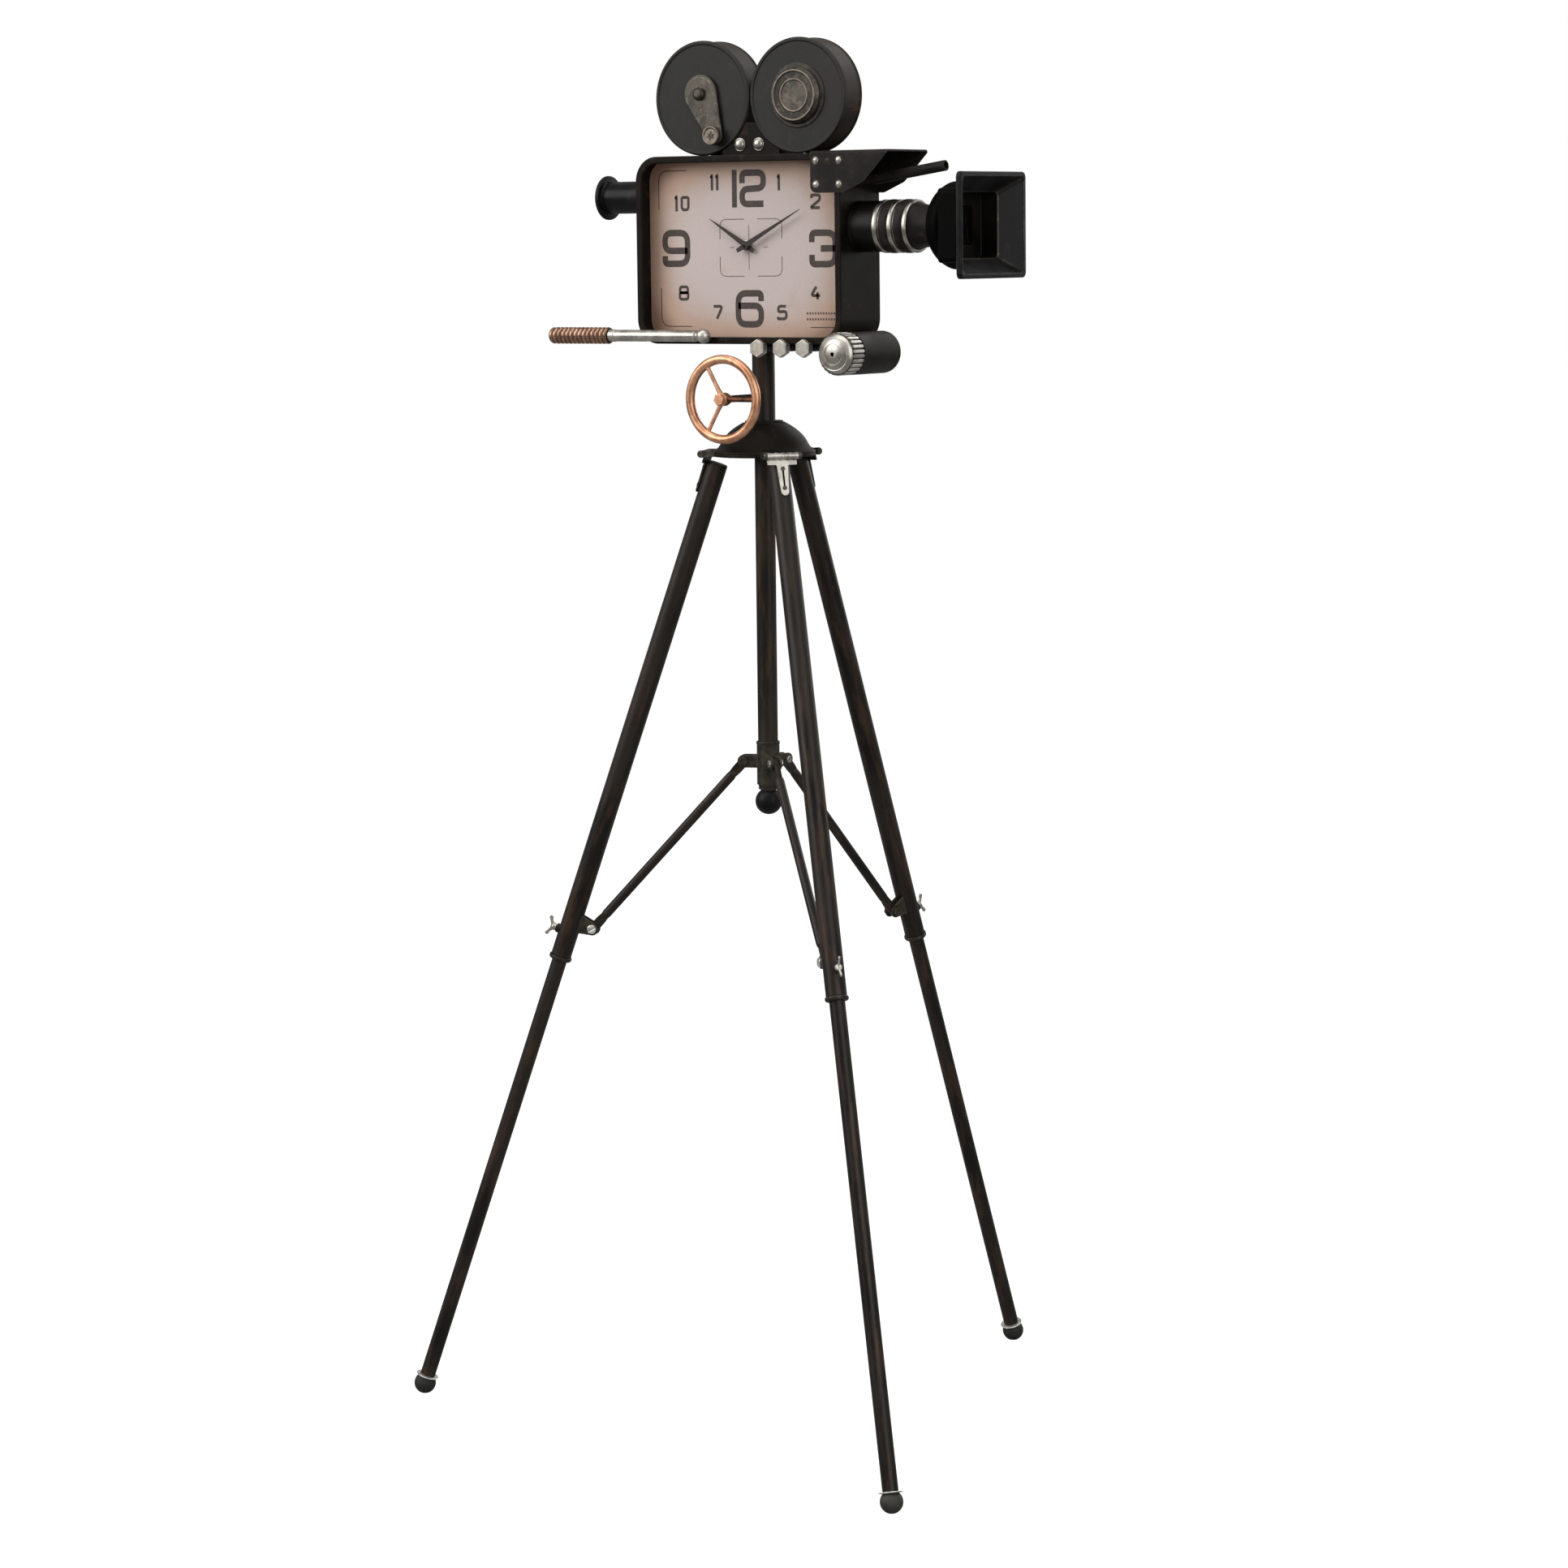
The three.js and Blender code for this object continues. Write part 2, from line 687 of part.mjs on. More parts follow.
function finial() {
  const ball = half(finialBallDiameter);
  const neck = half(finialNeckDiameter);
  const flange = half(columnDiameter);
  const spigot = flange - columnWall - boreGap;
  const flangeTop = -seatGap;
  const neckTop = flangeTop - finialFlangeHeight;
  const centre = neckTop - finialNeckHeight - Math.sqrt(ball ** 2 - neck ** 2);
  const profile = [[0, centre - ball]];
  const highest = Math.acos(neck / ball);
  for (let i = 1; i < ballSteps; i += 1) {
    const angle = -Math.PI / 2 + ((highest + Math.PI / 2) * i) / ballSteps;
    profile.push([Math.cos(angle) * ball, centre + Math.sin(angle) * ball]);
  }
  profile.push(
    [neck, neckTop - finialNeckHeight], [neck, neckTop], [flange, neckTop], [flange, flangeTop],
    [spigot, flangeTop], [spigot, finialSpigotLength], [0, finialSpigotLength],
  );
  return turned(profile, 'z', tubeSides);
}

// Case, dial and clockwork. Heights in the head are from the bottom of the case.

const cellY = dialBack + seatGap + movementDepth - half(batteryDiameter) + trayClearance;
const cellLevel = half(batteryDiameter) + movementCorner - half(movementSize); // from the shaft

const caseOutline = (inset) => roundedRectangle(
  caseWidth - inset * 2, caseHeight - inset * 2, Math.max(caseCorner - inset, caseWall),
  caseCentreX, half(caseHeight),
);

function caseShell() {
  const shell = plate(caseOutline(0), caseDepth, caseRear, caseBevel, caseArcSteps);
  const inside = plate(caseOutline(caseWall), caseDepth, caseRear + lipThickness, 0, caseArcSteps);
  const mouthBack = caseFront + lipThickness * 1.5;
  const mouth = plate(caseOutline(lipWidth), lipThickness * 2, mouthBack, 0, caseArcSteps);
  const ledge = (back) => cut(
    plate(caseOutline(caseWall * 0.6), ledgeThickness, back),
    plate(caseOutline(caseWall + ledgeWidth), ledgeThickness * 3, back + ledgeThickness),
  );
  const dialLedge = ledge(dialBack + seatGap + ledgeThickness);
  const coverLedge = ledge(caseRear - coverInset - coverThickness - seatGap);
  return joined(cut(shell, inside, mouth), dialLedge, coverLedge);
}

function rearCover() {
  const back = caseRear - coverInset;
  const window = roundedRectangle(coverWindow, coverWindow, windowCorner, caseCentreX, handCentreHeight);
  return cut(
    plate(caseOutline(caseWall + trayClearance), coverThickness, back),
    plate(window, coverThickness * 3, back + coverThickness),
  );
}

function dial() {
  const hole = moved(
    rod(half(bushDiameter) + boreGap, dialFront - overrun, dialBack + overrun, 'y', smallSides),
    caseCentreX, 0, handCentreHeight,
  );
  return cut(plate(caseOutline(caseWall + trayClearance), dialThickness, dialBack), hole);
}

function movement() {
  const outline = roundedRectangle(movementSize, movementSize, movementCorner);
  const front = dialBack + seatGap;
  const body = plate(outline, movementDepth, front + movementDepth);
  const bay = box(
    batteryLength + batteryNib + trayClearance * 2, batteryDiameter + trayClearance * 2,
    batteryDiameter + trayClearance, 0, cellY, cellLevel,
  );
  const shaft = turned([
    [0, -overrun], [half(bushDiameter), -overrun], [half(bushDiameter), bushLength],
    [half(hourTubeDiameter), bushLength], [half(hourTubeDiameter), hourTubeLength],
    [half(minuteShaftDiameter), hourTubeLength], [half(minuteShaftDiameter), minuteShaftLength],
    [0, minuteShaftLength],
  ], 'front', smallSides);
  return joined(cut(body, bay), moved(shaft, 0, dialBack));
}

function battery() {
  const end = half(batteryLength);
  const radius = half(batteryDiameter);
  return turned([
    [0, -end], [radius, -end], [radius, end], [radius * 0.38, end],
    [radius * 0.38, end + batteryNib], [0, end + batteryNib],
  ], 'x', smallSides);
}

function handNut() {
  const back = dialFront - seatGap;
  const hole = rod(half(bushDiameter) + boreGap, back - nutHeight - overrun, back + overrun, 'y', smallSides);
  return cut(plate(hexagon(nutAcrossFlats), nutHeight, back), hole);
}

// A tapered hand with a boss round the shaft, drawn pointing at twelve
function hand(length, width, shaftDiameter, back, angle) {
  const shape = new THREE.Shape();
  shape.moveTo(-half(width) * 0.75, -handTail);
  shape.lineTo(half(width) * 0.75, -handTail);
  shape.lineTo(half(width), 0);
  shape.lineTo(half(width) * 0.85, length * 0.25);
  shape.lineTo(half(width) * 0.12, length);
  shape.lineTo(-half(width) * 0.12, length);
  shape.lineTo(-half(width) * 0.85, length * 0.25);
  shape.lineTo(-half(width), 0);
  const boss = moved(rod(handHub, 0, handThickness, 'front', smallSides), 0, back);
  const front = back - handThickness;
  const bore = rod(half(shaftDiameter) + boreGap, front - overrun, back + overrun, 'y', smallSides);
  return cut(joined(plate(shape, handThickness, back), boss), bore).rotate([0, angle, 0]);
}

// Lens, hood, eyepiece and visor

function lensBarrel() {
  const barrel = half(barrelLensDiameter);
  const seat = half(ringSeatDiameter);
  const neck = half(neckDiameter);
  const bulge = half(ribDiameter);
  const bore = neck - lensWall;
  const profile = [[bore, 0], [barrel, 0], [barrel, barrelLensLength]];
  let at = barrelLensLength;
  for (let i = 0; i < ringCount; i += 1) {
    profile.push([seat, at], [seat, at + ringWidth]);
    at += ringWidth;
    if (i + 1 < ringCount) {
      profile.push(
        [bulge * 0.94, at], [bulge, at + ribWidth * 0.3],
        [bulge, at + ribWidth * 0.7], [bulge * 0.94, at + ribWidth],
      );
      at += ribWidth;
    }
  }
  profile.push(
    [barrel * 0.93, at], [neck * 1.03, at + neckLength * 0.25], [neck, at + neckLength * 0.6],
    [neck * 1.02, at + neckLength], [bore, at + neckLength],
  );
  return turned(profile, 'x', midSides);
}

const ringStart = (i) => barrelLensLength + i * (ringWidth + ribWidth);
const lensLength = ringStart(ringCount - 1) + ringWidth + neckLength;

function lensRing() {
  const inner = half(ringSeatDiameter) + boreGap;
  const outer = half(ringDiameter);
  return tube(inner, outer, seatGap, ringWidth - seatGap, 'x', midSides);
}

const bellShares = [
  [0.5, 0], [0.56, 0.06], [0.72, 0.2], [0.86, 0.42], [0.95, 0.66], [1, 0.88], [0.98, 1],
]; // radius and length

// A spun shell, open at the neck and closed in front by the dished glass plate
function lensBell() {
  const radius = half(bellDiameter);
  const recess = half(bellRecessDiameter);
  const neckHole = half(neckDiameter) - lensWall;
  const dish = bellLength - bellRecessDepth;
  const floor = dish - lensWall;
  const skin = bellShares.map(([r, x]) => [r * radius, x * bellLength]);
  const offset = skin.map(([r, x]) => [r - lensWall, x + lensWall]);
  const lining = offset.filter(([r, x], i) => i % 2 && r > neckHole && x < floor);
  return turned([
    [neckHole, 0], ...skin, [recess, bellLength], [recess * 0.6, dish], [0, dish],
    [0, floor], [lining[lining.length - 1][0], floor], ...lining.reverse(), [neckHole, lensWall],
  ], 'x', fineSides);
}

// A square box at the back that flares into the funnel, and a wider lip round its mouth
function lensHood() {
  const rim = hoodLipWidth * 2;
  const mouth = { width: hoodWidth - rim, height: hoodHeight - rim, radius: hoodCorner };
  const throat = { width: throatWidth, height: throatHeight, radius: hoodCorner };
  const flareStart = hoodLength - hoodFunnelDepth;
  const lipBack = hoodLength - hoodLipDepth;
  const share = (lipBack - flareStart) / hoodFunnelDepth;
  const flareEnd = {
    width: throatWidth + (mouth.width - throatWidth) * share + hoodWall * 2,
    height: throatHeight + (mouth.height - throatHeight) * share + hoodWall * 2,
  };
  const shell = lofted([
    { x: 0, width: hoodBackWidth, height: hoodBackHeight, radius: hoodCorner },
    { x: flareStart, width: hoodBackWidth, height: hoodBackHeight, radius: hoodCorner },
    { x: lipBack, ...flareEnd, radius: hoodCorner },
    { x: lipBack, width: hoodWidth, height: hoodHeight, radius: hoodCorner },
    { x: hoodLength, width: hoodWidth, height: hoodHeight, radius: hoodCorner },
  ]);
  const funnel = lofted([
    { x: hoodBackWall, ...throat },
    { x: flareStart, ...throat },
    { x: hoodLength, ...mouth },
    { x: hoodLength + overrun, ...mouth },
  ]);
  const lensHole = rod(half(bellRecessDiameter), -overrun, hoodBackWall + overrun, 'x', midSides);
  return cut(shell, funnel, lensHole);
}

function eyepiece() {
  const tubeRadius = half(eyepieceDiameter);
  const flange = half(eyeFlangeDiameter);
  const bore = half(eyeBoreDiameter);
  const bell = eyepieceLength - eyeFlangeLength;
  return turned([
    [bore, 0], [tubeRadius, 0], [tubeRadius, -bell * 0.9], [tubeRadius * 1.08, -bell],
    [flange * 0.97, -bell - eyeFlangeLength * 0.45], [flange, -eyepieceLength],
    [flange * 0.86, -eyepieceLength],
    [bore, -eyepieceLength + eyeFlangeLength], [bore, 0],
  ], 'x', midSides);
}

function visor() {
  const top = caseHeight + seatGap + visorPlate;
  const lower = caseHeight - visorDrop;
  const visorStart = caseRight - visorInboard;
  const visorTip = caseRight + visorReach;
  const outline = new THREE.Shape();
  outline.moveTo(visorStart, top);
  outline.lineTo(visorStart, lower + visorCorner);
  outline.absarc(visorStart + visorCorner, lower + visorCorner, visorCorner, Math.PI, Math.PI * 1.5);
  outline.lineTo(caseRight + visorHeelReach, lower);
  outline.lineTo(caseRight + visorWaistReach, caseHeight - visorWaistDrop);
  outline.lineTo(visorTip, top - visorPlate);
  outline.lineTo(visorTip, top);
  const inner = { front: caseFront - seatGap, rear: caseRear + seatGap };
  const width = inner.rear - inner.front;
  const length = visorTip - visorStart + overrun * 2;
  const channel = box(
    length, width, visorDrop + overrun * 2, half(visorStart + visorTip), half(inner.front + inner.rear),
    caseHeight + seatGap - half(visorDrop + overrun * 2),
  );
  return cut(plate(outline, width + visorPlate * 2, inner.rear + visorPlate), channel);
}

function visorRod() {
  const outer = half(rodDiameter);
  const whole = tube(outer - rodWall, outer, -rodDiameter, rodLength, 'x').rotate([0, -rodTilt, 0]);
  const wall = box(rodDiameter * 4, rodDiameter * 4, rodDiameter * 4, seatGap - rodDiameter * 2);
  return cut(whole, wall);
}

// Reels

// A drum of sheet metal, open only at the spindle hole in its rear face
function reel() {
  const radius = half(reelDiameter);
  const hole = half(spindleHole);
  const face = reelThickness - reelFaceInset;
  const inside = radius - reelRim;
  return turned([
    [hole, 0], [radius - reelEdge, 0], [radius, reelEdge], [radius, reelThickness - reelEdge],
    [radius - reelEdge, reelThickness], [inside, reelThickness], [inside, face], [0, face],
    [0, face - reelWall], [inside, face - reelWall], [inside, reelWall], [hole, reelWall],
  ], 'front', fineSides);
}

function reelHub() {
  const radius = half(hubDiameter);
  const disc = half(hubDiscDiameter);
  return turned([
    [0, 0], [radius, 0], [radius, hubHeight * 0.6], [radius - hubRingWidth * 0.4, hubHeight],
    [radius - hubRingWidth, hubHeight], [radius - hubRingWidth, hubHeight * 0.5],
    [disc + hubRingWidth * 0.5, hubHeight * 0.5], [disc + hubRingWidth * 0.3, hubHeight * 0.8],
    [disc, hubHeight * 0.8], [disc, hubHeight * 0.6], [0, hubHeight * 0.6],
  ], 'front', midSides);
}

// The web stands clear of the reel's rim, on a boss that reaches back to the reel's face
function reelCrank() {
  const lift = reelFaceInset;
  const lean = Math.asin((crankBigRadius - crankSmallRadius) / crankReach);
  const shape = new THREE.Shape();
  shape.absarc(0, 0, crankBigRadius, -lean, Math.PI + lean);
  shape.absarc(0, -crankReach, crankSmallRadius, Math.PI + lean, Math.PI * 2 - lean);
  const web = plate(shape, crankThickness, -lift, crankThickness * 0.2);
  const stud = rod(half(crankStudDiameter), 0, lift + crankThickness + crankStudHeight, 'front', midSides);
  const radius = half(crankKnobDiameter);
  const up = (share) => lift + crankThickness + crankKnobHeight * share;
  const foot = lift + half(crankThickness);
  const grip = turned([
    [0, foot], [radius * 0.6, foot], [radius * 0.6, up(0.3)], [radius, up(0.45)], [radius, up(0.85)],
    [radius * 0.8, up(1)], [0, up(1)],
  ], 'front', smallSides);
  const knob = moved(grip, 0, 0, -crankReach);
  return joined(web, stud, knob).rotate([0, -crankAngle, 0]);
}

const reelLevel = caseHeight + seatGap + half(reelDiameter);

function reelBracket() {
  const base = caseHeight + seatGap;
  const middle = half(leftReelX + rightReelX);
  const rear = bracketFront + bracketThickness;
  const height = bracketPeak * bracketTopShare;
  const block = box(
    bracketSpan, bracketThickness, height, middle, bracketFront + half(bracketThickness), base + half(height),
  );
  const drum = rod(half(reelDiameter) + seatGap, bracketFront - overrun, rear + overrun, 'y', fineSides);
  return cut(block, moved(drum, leftReelX, 0, reelLevel), moved(drum, rightReelX, 0, reelLevel));
}

const roundHead = (diameter, height) => turned([
  [0, 0], [half(diameter), 0], [half(diameter), height * 0.45], [half(diameter) * 0.8, height * 0.85],
  [half(diameter) * 0.45, height], [0, height],
], 'front', smallSides);

// Handle, bolts, roller, knob and wheel

function handleBar() {
  const ball = half(handleBallDiameter);
  const profile = [[0, -ball]];
  for (let i = 1; i < ballSteps; i += 1) {
    const angle = -Math.PI / 2 + (Math.PI * i) / ballSteps;
    profile.push([Math.cos(angle) * ball, Math.sin(angle) * ball]);
  }
  profile.push([0, ball]);
  const bar = half(handleRodDiameter);
  const stem = turned([
    [0, 0], [bar, 0], [bar, -handleRodLength], [half(gripCoreDiameter), -handleRodLength],
    [half(gripCoreDiameter), -handleRodLength - gripLength * 0.9], [0, -handleRodLength - gripLength * 0.9],
  ], 'x');
  const stud = rod(half(handleStudDiameter), 0, caseFront - seatGap - handleY, 'y', smallSides);
  return joined(turned(profile, 'x'), stem, moved(stud, 0, 0, -handleStudDrop));
}

function handleGrip() {
  const outer = half(gripDiameter);
  const inner = outer - gripGroove;
  const bore = half(gripCoreDiameter) + boreGap;
  const pitch = gripLength / gripTurns;
  const profile = [[bore, 0]];
  for (let i = 0; i < gripTurns; i += 1) {
    profile.push([inner, -pitch * i], [outer, -pitch * (i + 0.5)]);
  }
  const core = -gripLength * 0.93; // the coil closes over the end of its core
  profile.push([inner, -gripLength], [0, -gripLength], [0, core], [bore, core]);
  const points = profile.map(([radius, along]) => new THREE.Vector2(radius, along));
  points.push(points[0].clone());
  return toSolid(turnTo.x(new THREE.LatheGeometry(points, smallSides)));
}

function caseBolt() {
  const seat = caseBoltHeadFront + caseBoltHeadHeight;
  const head = plate(hexagon(caseBoltAcrossFlats), caseBoltHeadHeight, seat, caseBoltHeadHeight * 0.12);
  const shank = rod(
    half(caseBoltDiameter), seat - half(caseBoltHeadHeight), seat + caseBoltLength, 'y', smallSides,
  );
  return joined(head, shank);
}

// A cup that is closed at the rear, with the knob's pin running through it
function roller() {
  const radius = half(rollerDiameter);
  const pin = half(rollerPinDiameter);
  const floor = rollerLength * 0.9 - rollerWall;
  return turned([
    [0, -rollerPinLength], [pin, -rollerPinLength], [pin, floor], [radius - rollerWall, floor],
    [radius - rollerWall, 0], [radius, 0], [radius, rollerLength * 0.9],
    [radius * 0.9, rollerLength * 0.97], [radius * 0.72, rollerLength], [0, rollerLength],
  ], 'y', midSides);
}

function knurledKnob() {
  const radius = half(rollerDiameter);
  const teeth = new THREE.Shape(Array.from({ length: knurlCount * 2 }, (unused, i) => {
    const reach = i % 2 ? radius - knurlDepth : radius;
    const angle = (i * Math.PI) / knurlCount;
    return new THREE.Vector2(Math.cos(angle) * reach, Math.sin(angle) * reach);
  }));
  const drum = plate(teeth, knobLength * 0.8, 0);
  const nose = turned([
    [0, knobLength * 0.5], [radius * 0.96, knobLength * 0.5], [radius * 0.96, knobLength],
    [radius * 0.88, knobLength + knobDomeHeight * 0.45], [radius * 0.62, knobLength + knobDomeHeight * 0.8],
    [radius * 0.3, knobLength + knobDomeHeight], [half(knobHoleDiameter), knobLength + knobDomeHeight],
    [half(knobHoleDiameter), knobLength + knobDomeHeight - knobHoleDepth],
    [0, knobLength + knobDomeHeight - knobHoleDepth],
  ], 'front', midSides);
  const bore = half(rollerPinDiameter) + boreGap;
  return cut(joined(drum, nose), rod(bore, -overrun, rollerPinLength + seatGap * 2, 'front', midSides));
}

function handWheel() {
  const rimRadius = half(wheelDiameter - wheelRimDiameter);
  const rim = new THREE.TorusGeometry(rimRadius, half(wheelRimDiameter), rimSides, fineSides);
  rim.rotateX(Math.PI / 2);
  const hub = rod(half(wheelHubDiameter), -half(wheelHubLength), half(wheelHubLength), 'y', midSides);
  const spokes = Array.from({ length: spokeCount }, (unused, i) =>
    rod(half(spokeDiameter), half(wheelHubDiameter) * 0.6, rimRadius, 'x', smallSides)
      .rotate([0, (i * 360) / spokeCount, 0]));
  const bore = rod(half(axleDiameter) + boreGap, -wheelHubLength, wheelHubLength, 'y', smallSides);
  return cut(joined(toSolid(rim), hub, ...spokes), bore);
}

function wheelAxle() {
  const start = half(postDiameter) + seatGap;
  const hubBack = -wheelY - half(wheelHubLength) - seatGap;
  const hubFront = -wheelY + half(wheelHubLength) + seatGap;
  const shaft = turned([
    [0, start], [half(axleShoulder), start], [half(axleShoulder), start + axleShoulderLength],
    [half(axleDiameter), start + axleShoulderLength], [half(axleDiameter), hubBack - axleShoulderLength],
    [half(axleShoulder), hubBack - axleShoulderLength], [half(axleShoulder), hubBack],
    [half(axleDiameter), hubBack], [half(axleDiameter), hubFront + half(axleHeadHeight)],
    [0, hubFront + half(axleHeadHeight)],
  ], 'front', smallSides);
  const head = plate(hexagon(axleHeadAcrossFlats), axleHeadHeight, -hubFront, axleHeadHeight * 0.15);
  return joined(shaft, head);
}

// The assembly

const clock = new THREE.Group();

function place(group, name, solid, material, x = 0, y = 0, z = 0) {
  const mesh = toMesh(name, solid, material);
  mesh.position.set(x, y, z);
  group.add(mesh);
  return mesh;
}

const columnTube = tube(half(columnDiameter) - columnWall, half(columnDiameter), 0, columnLength);
place(clock, 'tripod_dome', dome(), blackMetal, 0, 0, domeBottom);
place(clock, 'column_tube', columnTube, blackMetal, 0, 0, columnBottom);
place(clock, 'column_finial', finial(), blackMetal, 0, 0, columnBottom);
place(clock, 'spreader_sleeve', spreaderSleeve(), blackMetal, 0, 0, sleevePivotLevel);

legNames.forEach((name, i) => {
  const side = new THREE.Group();
  side.rotation.z = toRadians(turnToLeg(i));
  clock.add(side);

  const leg = new THREE.Group();
  leg.position.set(hingeRadius, 0, hingeLevel);
  leg.rotation.y = -tilt;
  side.add(leg);
  const axisX = -hingeToLegAxis;
  const tubeEnd = -hingeAboveTube - upperTubeLength;
  const lowerTop = tubeEnd + lowerTubeOverlap;
  const lowerLeg = tube(lowerBore, lowerRadius, 0, -lowerTubeLength);
  place(leg, `leg_hinge_${name}`, legHinge(), name === 'front' ? silverMetal : wornMetal);
  place(leg, `upper_leg_${name}`, upperLeg(), blackMetal, axisX, 0, -hingeAboveTube);
  place(leg, `leg_ferrule_${name}`, ferrule(), wornMetal, axisX, 0, tubeEnd);
  place(leg, `lower_leg_${name}`, lowerLeg, blackMetal, axisX, 0, lowerTop);
  place(leg, `foot_${name}`, foot(), blackRubber, axisX, 0, -legSpan);
  place(leg, `wing_screw_${name}`, clampScrew(), silverMetal, axisX, 0, -hingeAboveTube - clampDrop);

  const brace = new THREE.Group();
  brace.position.set(sleevePivotRadius, 0, sleevePivotLevel);
  brace.rotation.y = -strutLean;
  side.add(brace);
  place(brace, `strut_${name}`, strut(), blackMetal);
});

const head = new THREE.Group();
head.position.z = caseBottom;
clock.add(head);

const postFoot = seatGap - postExposed - socketDepth;
const post = tube(half(postDiameter) - postWall, half(postDiameter), postFoot, -seatGap);
place(head, 'post', post, blackMetal);
place(head, 'case', caseShell(), blackMetal);
place(head, 'rear_cover', rearCover(), blackMetal);
place(head, 'dial', dial(), dialPaper);

const clockwork = new THREE.Group();
clockwork.position.set(caseCentreX, 0, handCentreHeight);
head.add(clockwork);
const hourY = dialBack - bushLength - handThickness;
const minuteY = dialBack - hourTubeLength - handThickness;
const hourHand = hand(hourHandLength, hourHandWidth, hourTubeDiameter, hourY, hourAngle);
const minuteHand = hand(minuteHandLength, minuteHandWidth, minuteShaftDiameter, minuteY, minuteAngle);
place(clockwork, 'movement', movement(), blackPlastic);
place(clockwork, 'battery', battery(), cellSleeve, -half(batteryNib), cellY, cellLevel);
place(clockwork, 'hand_nut', handNut(), silverMetal);
place(clockwork, 'hour_hand', hourHand, handPaint);
place(clockwork, 'minute_hand', minuteHand, handPaint);

const lensStart = caseRight + seatGap;
const bellStart = lensStart + lensLength + seatGap;
const hoodStart = bellStart + bellLength + seatGap;
place(head, 'lens_barrel', lensBarrel(), blackMetal, lensStart, 0, lensHeight);
for (let i = 0; i < ringCount; i += 1) {
  place(head, `lens_ring_${i + 1}`, lensRing(), silverMetal, lensStart + ringStart(i), 0, lensHeight);
}
place(head, 'lens_bell', lensBell(), blackMetal, bellStart, 0, lensHeight);
place(head, 'lens_hood', lensHood(), blackMetal, hoodStart, 0, lensHeight);
place(head, 'eyepiece', eyepiece(), blackMetal, caseLeft - seatGap, 0, eyepieceHeight);
place(head, 'visor', visor(), blackMetal);
place(head, 'visor_rod', visorRod(), blackMetal, caseRight, 0, rodHeight);

const reelFace = reelFront + reelFaceInset - seatGap;
place(head, 'reel_left', reel(), blackMetal, leftReelX, reelFront + reelThickness, reelLevel);
place(head, 'reel_right', reel(), blackMetal, rightReelX, reelFront + reelThickness, reelLevel);
place(head, 'reel_hub', reelHub(), wornMetal, rightReelX, reelFace, reelLevel);
place(head, 'reel_crank', reelCrank(), wornMetal, leftReelX, reelFace, reelLevel + crankRise);
place(head, 'reel_bracket', reelBracket(), blackMetal);
for (let i = 0; i < reelBoltCount; i += 1) {
  const bolt = roundHead(reelBoltDiameter, reelBoltHeight);
  const x = reelBoltMiddle + (i - half(reelBoltCount - 1)) * reelBoltSpacing;
  place(head, `reel_bolt_${i + 1}`, bolt, silverMetal, x, bracketFront - seatGap, caseHeight + reelBoltLevel);
}

const gripStart = handleBallX - handleRodLength - seatGap;
const boltLevel = -seatGap - half(caseBoltDiameter);
place(head, 'handle_bar', handleBar(), silverMetal, handleBallX, handleY, handleHeight);
place(head, 'handle_grip', handleGrip(), copperMetal, gripStart, handleY, handleHeight);
for (let i = 0; i < caseBoltCount; i += 1) {
  const x = caseBoltFirstX + i * caseBoltSpacing;
  place(head, `case_bolt_${i + 1}`, caseBolt(), silverMetal, x, 0, boltLevel);
}
place(head, 'roller', roller(), blackMetal, knobX, rollerFront, -knobDrop);
place(head, 'knurled_knob', knurledKnob(), silverMetal, knobX, rollerFront - seatGap, -knobDrop);
place(head, 'wheel_axle', wheelAxle(), copperMetal, 0, 0, -wheelDrop);
place(head, 'hand_wheel', handWheel(), copperMetal, 0, wheelY, -wheelDrop);

export default clock;
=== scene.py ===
# Floor clock in the shape of an old film camera on a folding tripod.
# Drawn in millimetres in local frames, each piece placed by the frame's own boxes and joints.
import json
import math

import bmesh
import bpy
from mathutils import Matrix, Vector


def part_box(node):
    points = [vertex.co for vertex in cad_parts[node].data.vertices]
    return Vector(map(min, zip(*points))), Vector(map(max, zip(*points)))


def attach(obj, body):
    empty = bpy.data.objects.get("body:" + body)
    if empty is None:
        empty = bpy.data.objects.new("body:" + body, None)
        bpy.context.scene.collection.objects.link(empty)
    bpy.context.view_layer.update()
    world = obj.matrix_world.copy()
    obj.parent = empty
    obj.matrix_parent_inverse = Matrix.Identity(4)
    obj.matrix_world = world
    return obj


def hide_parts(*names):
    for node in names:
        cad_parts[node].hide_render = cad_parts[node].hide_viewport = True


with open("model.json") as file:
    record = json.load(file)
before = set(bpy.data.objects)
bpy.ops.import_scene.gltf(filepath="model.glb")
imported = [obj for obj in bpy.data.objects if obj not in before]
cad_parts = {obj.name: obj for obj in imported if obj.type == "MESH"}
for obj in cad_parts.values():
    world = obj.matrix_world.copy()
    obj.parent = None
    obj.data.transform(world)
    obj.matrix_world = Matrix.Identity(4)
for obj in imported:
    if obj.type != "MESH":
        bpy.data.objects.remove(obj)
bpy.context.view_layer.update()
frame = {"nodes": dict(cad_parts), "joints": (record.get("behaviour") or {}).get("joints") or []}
mm = 0.001
joints = {joint["name"]: joint for joint in frame["joints"]}
legNames = ["left", "front", "rear"]
print("frame loaded:", len(frame["nodes"]), "nodes")

# Camera, light and floor

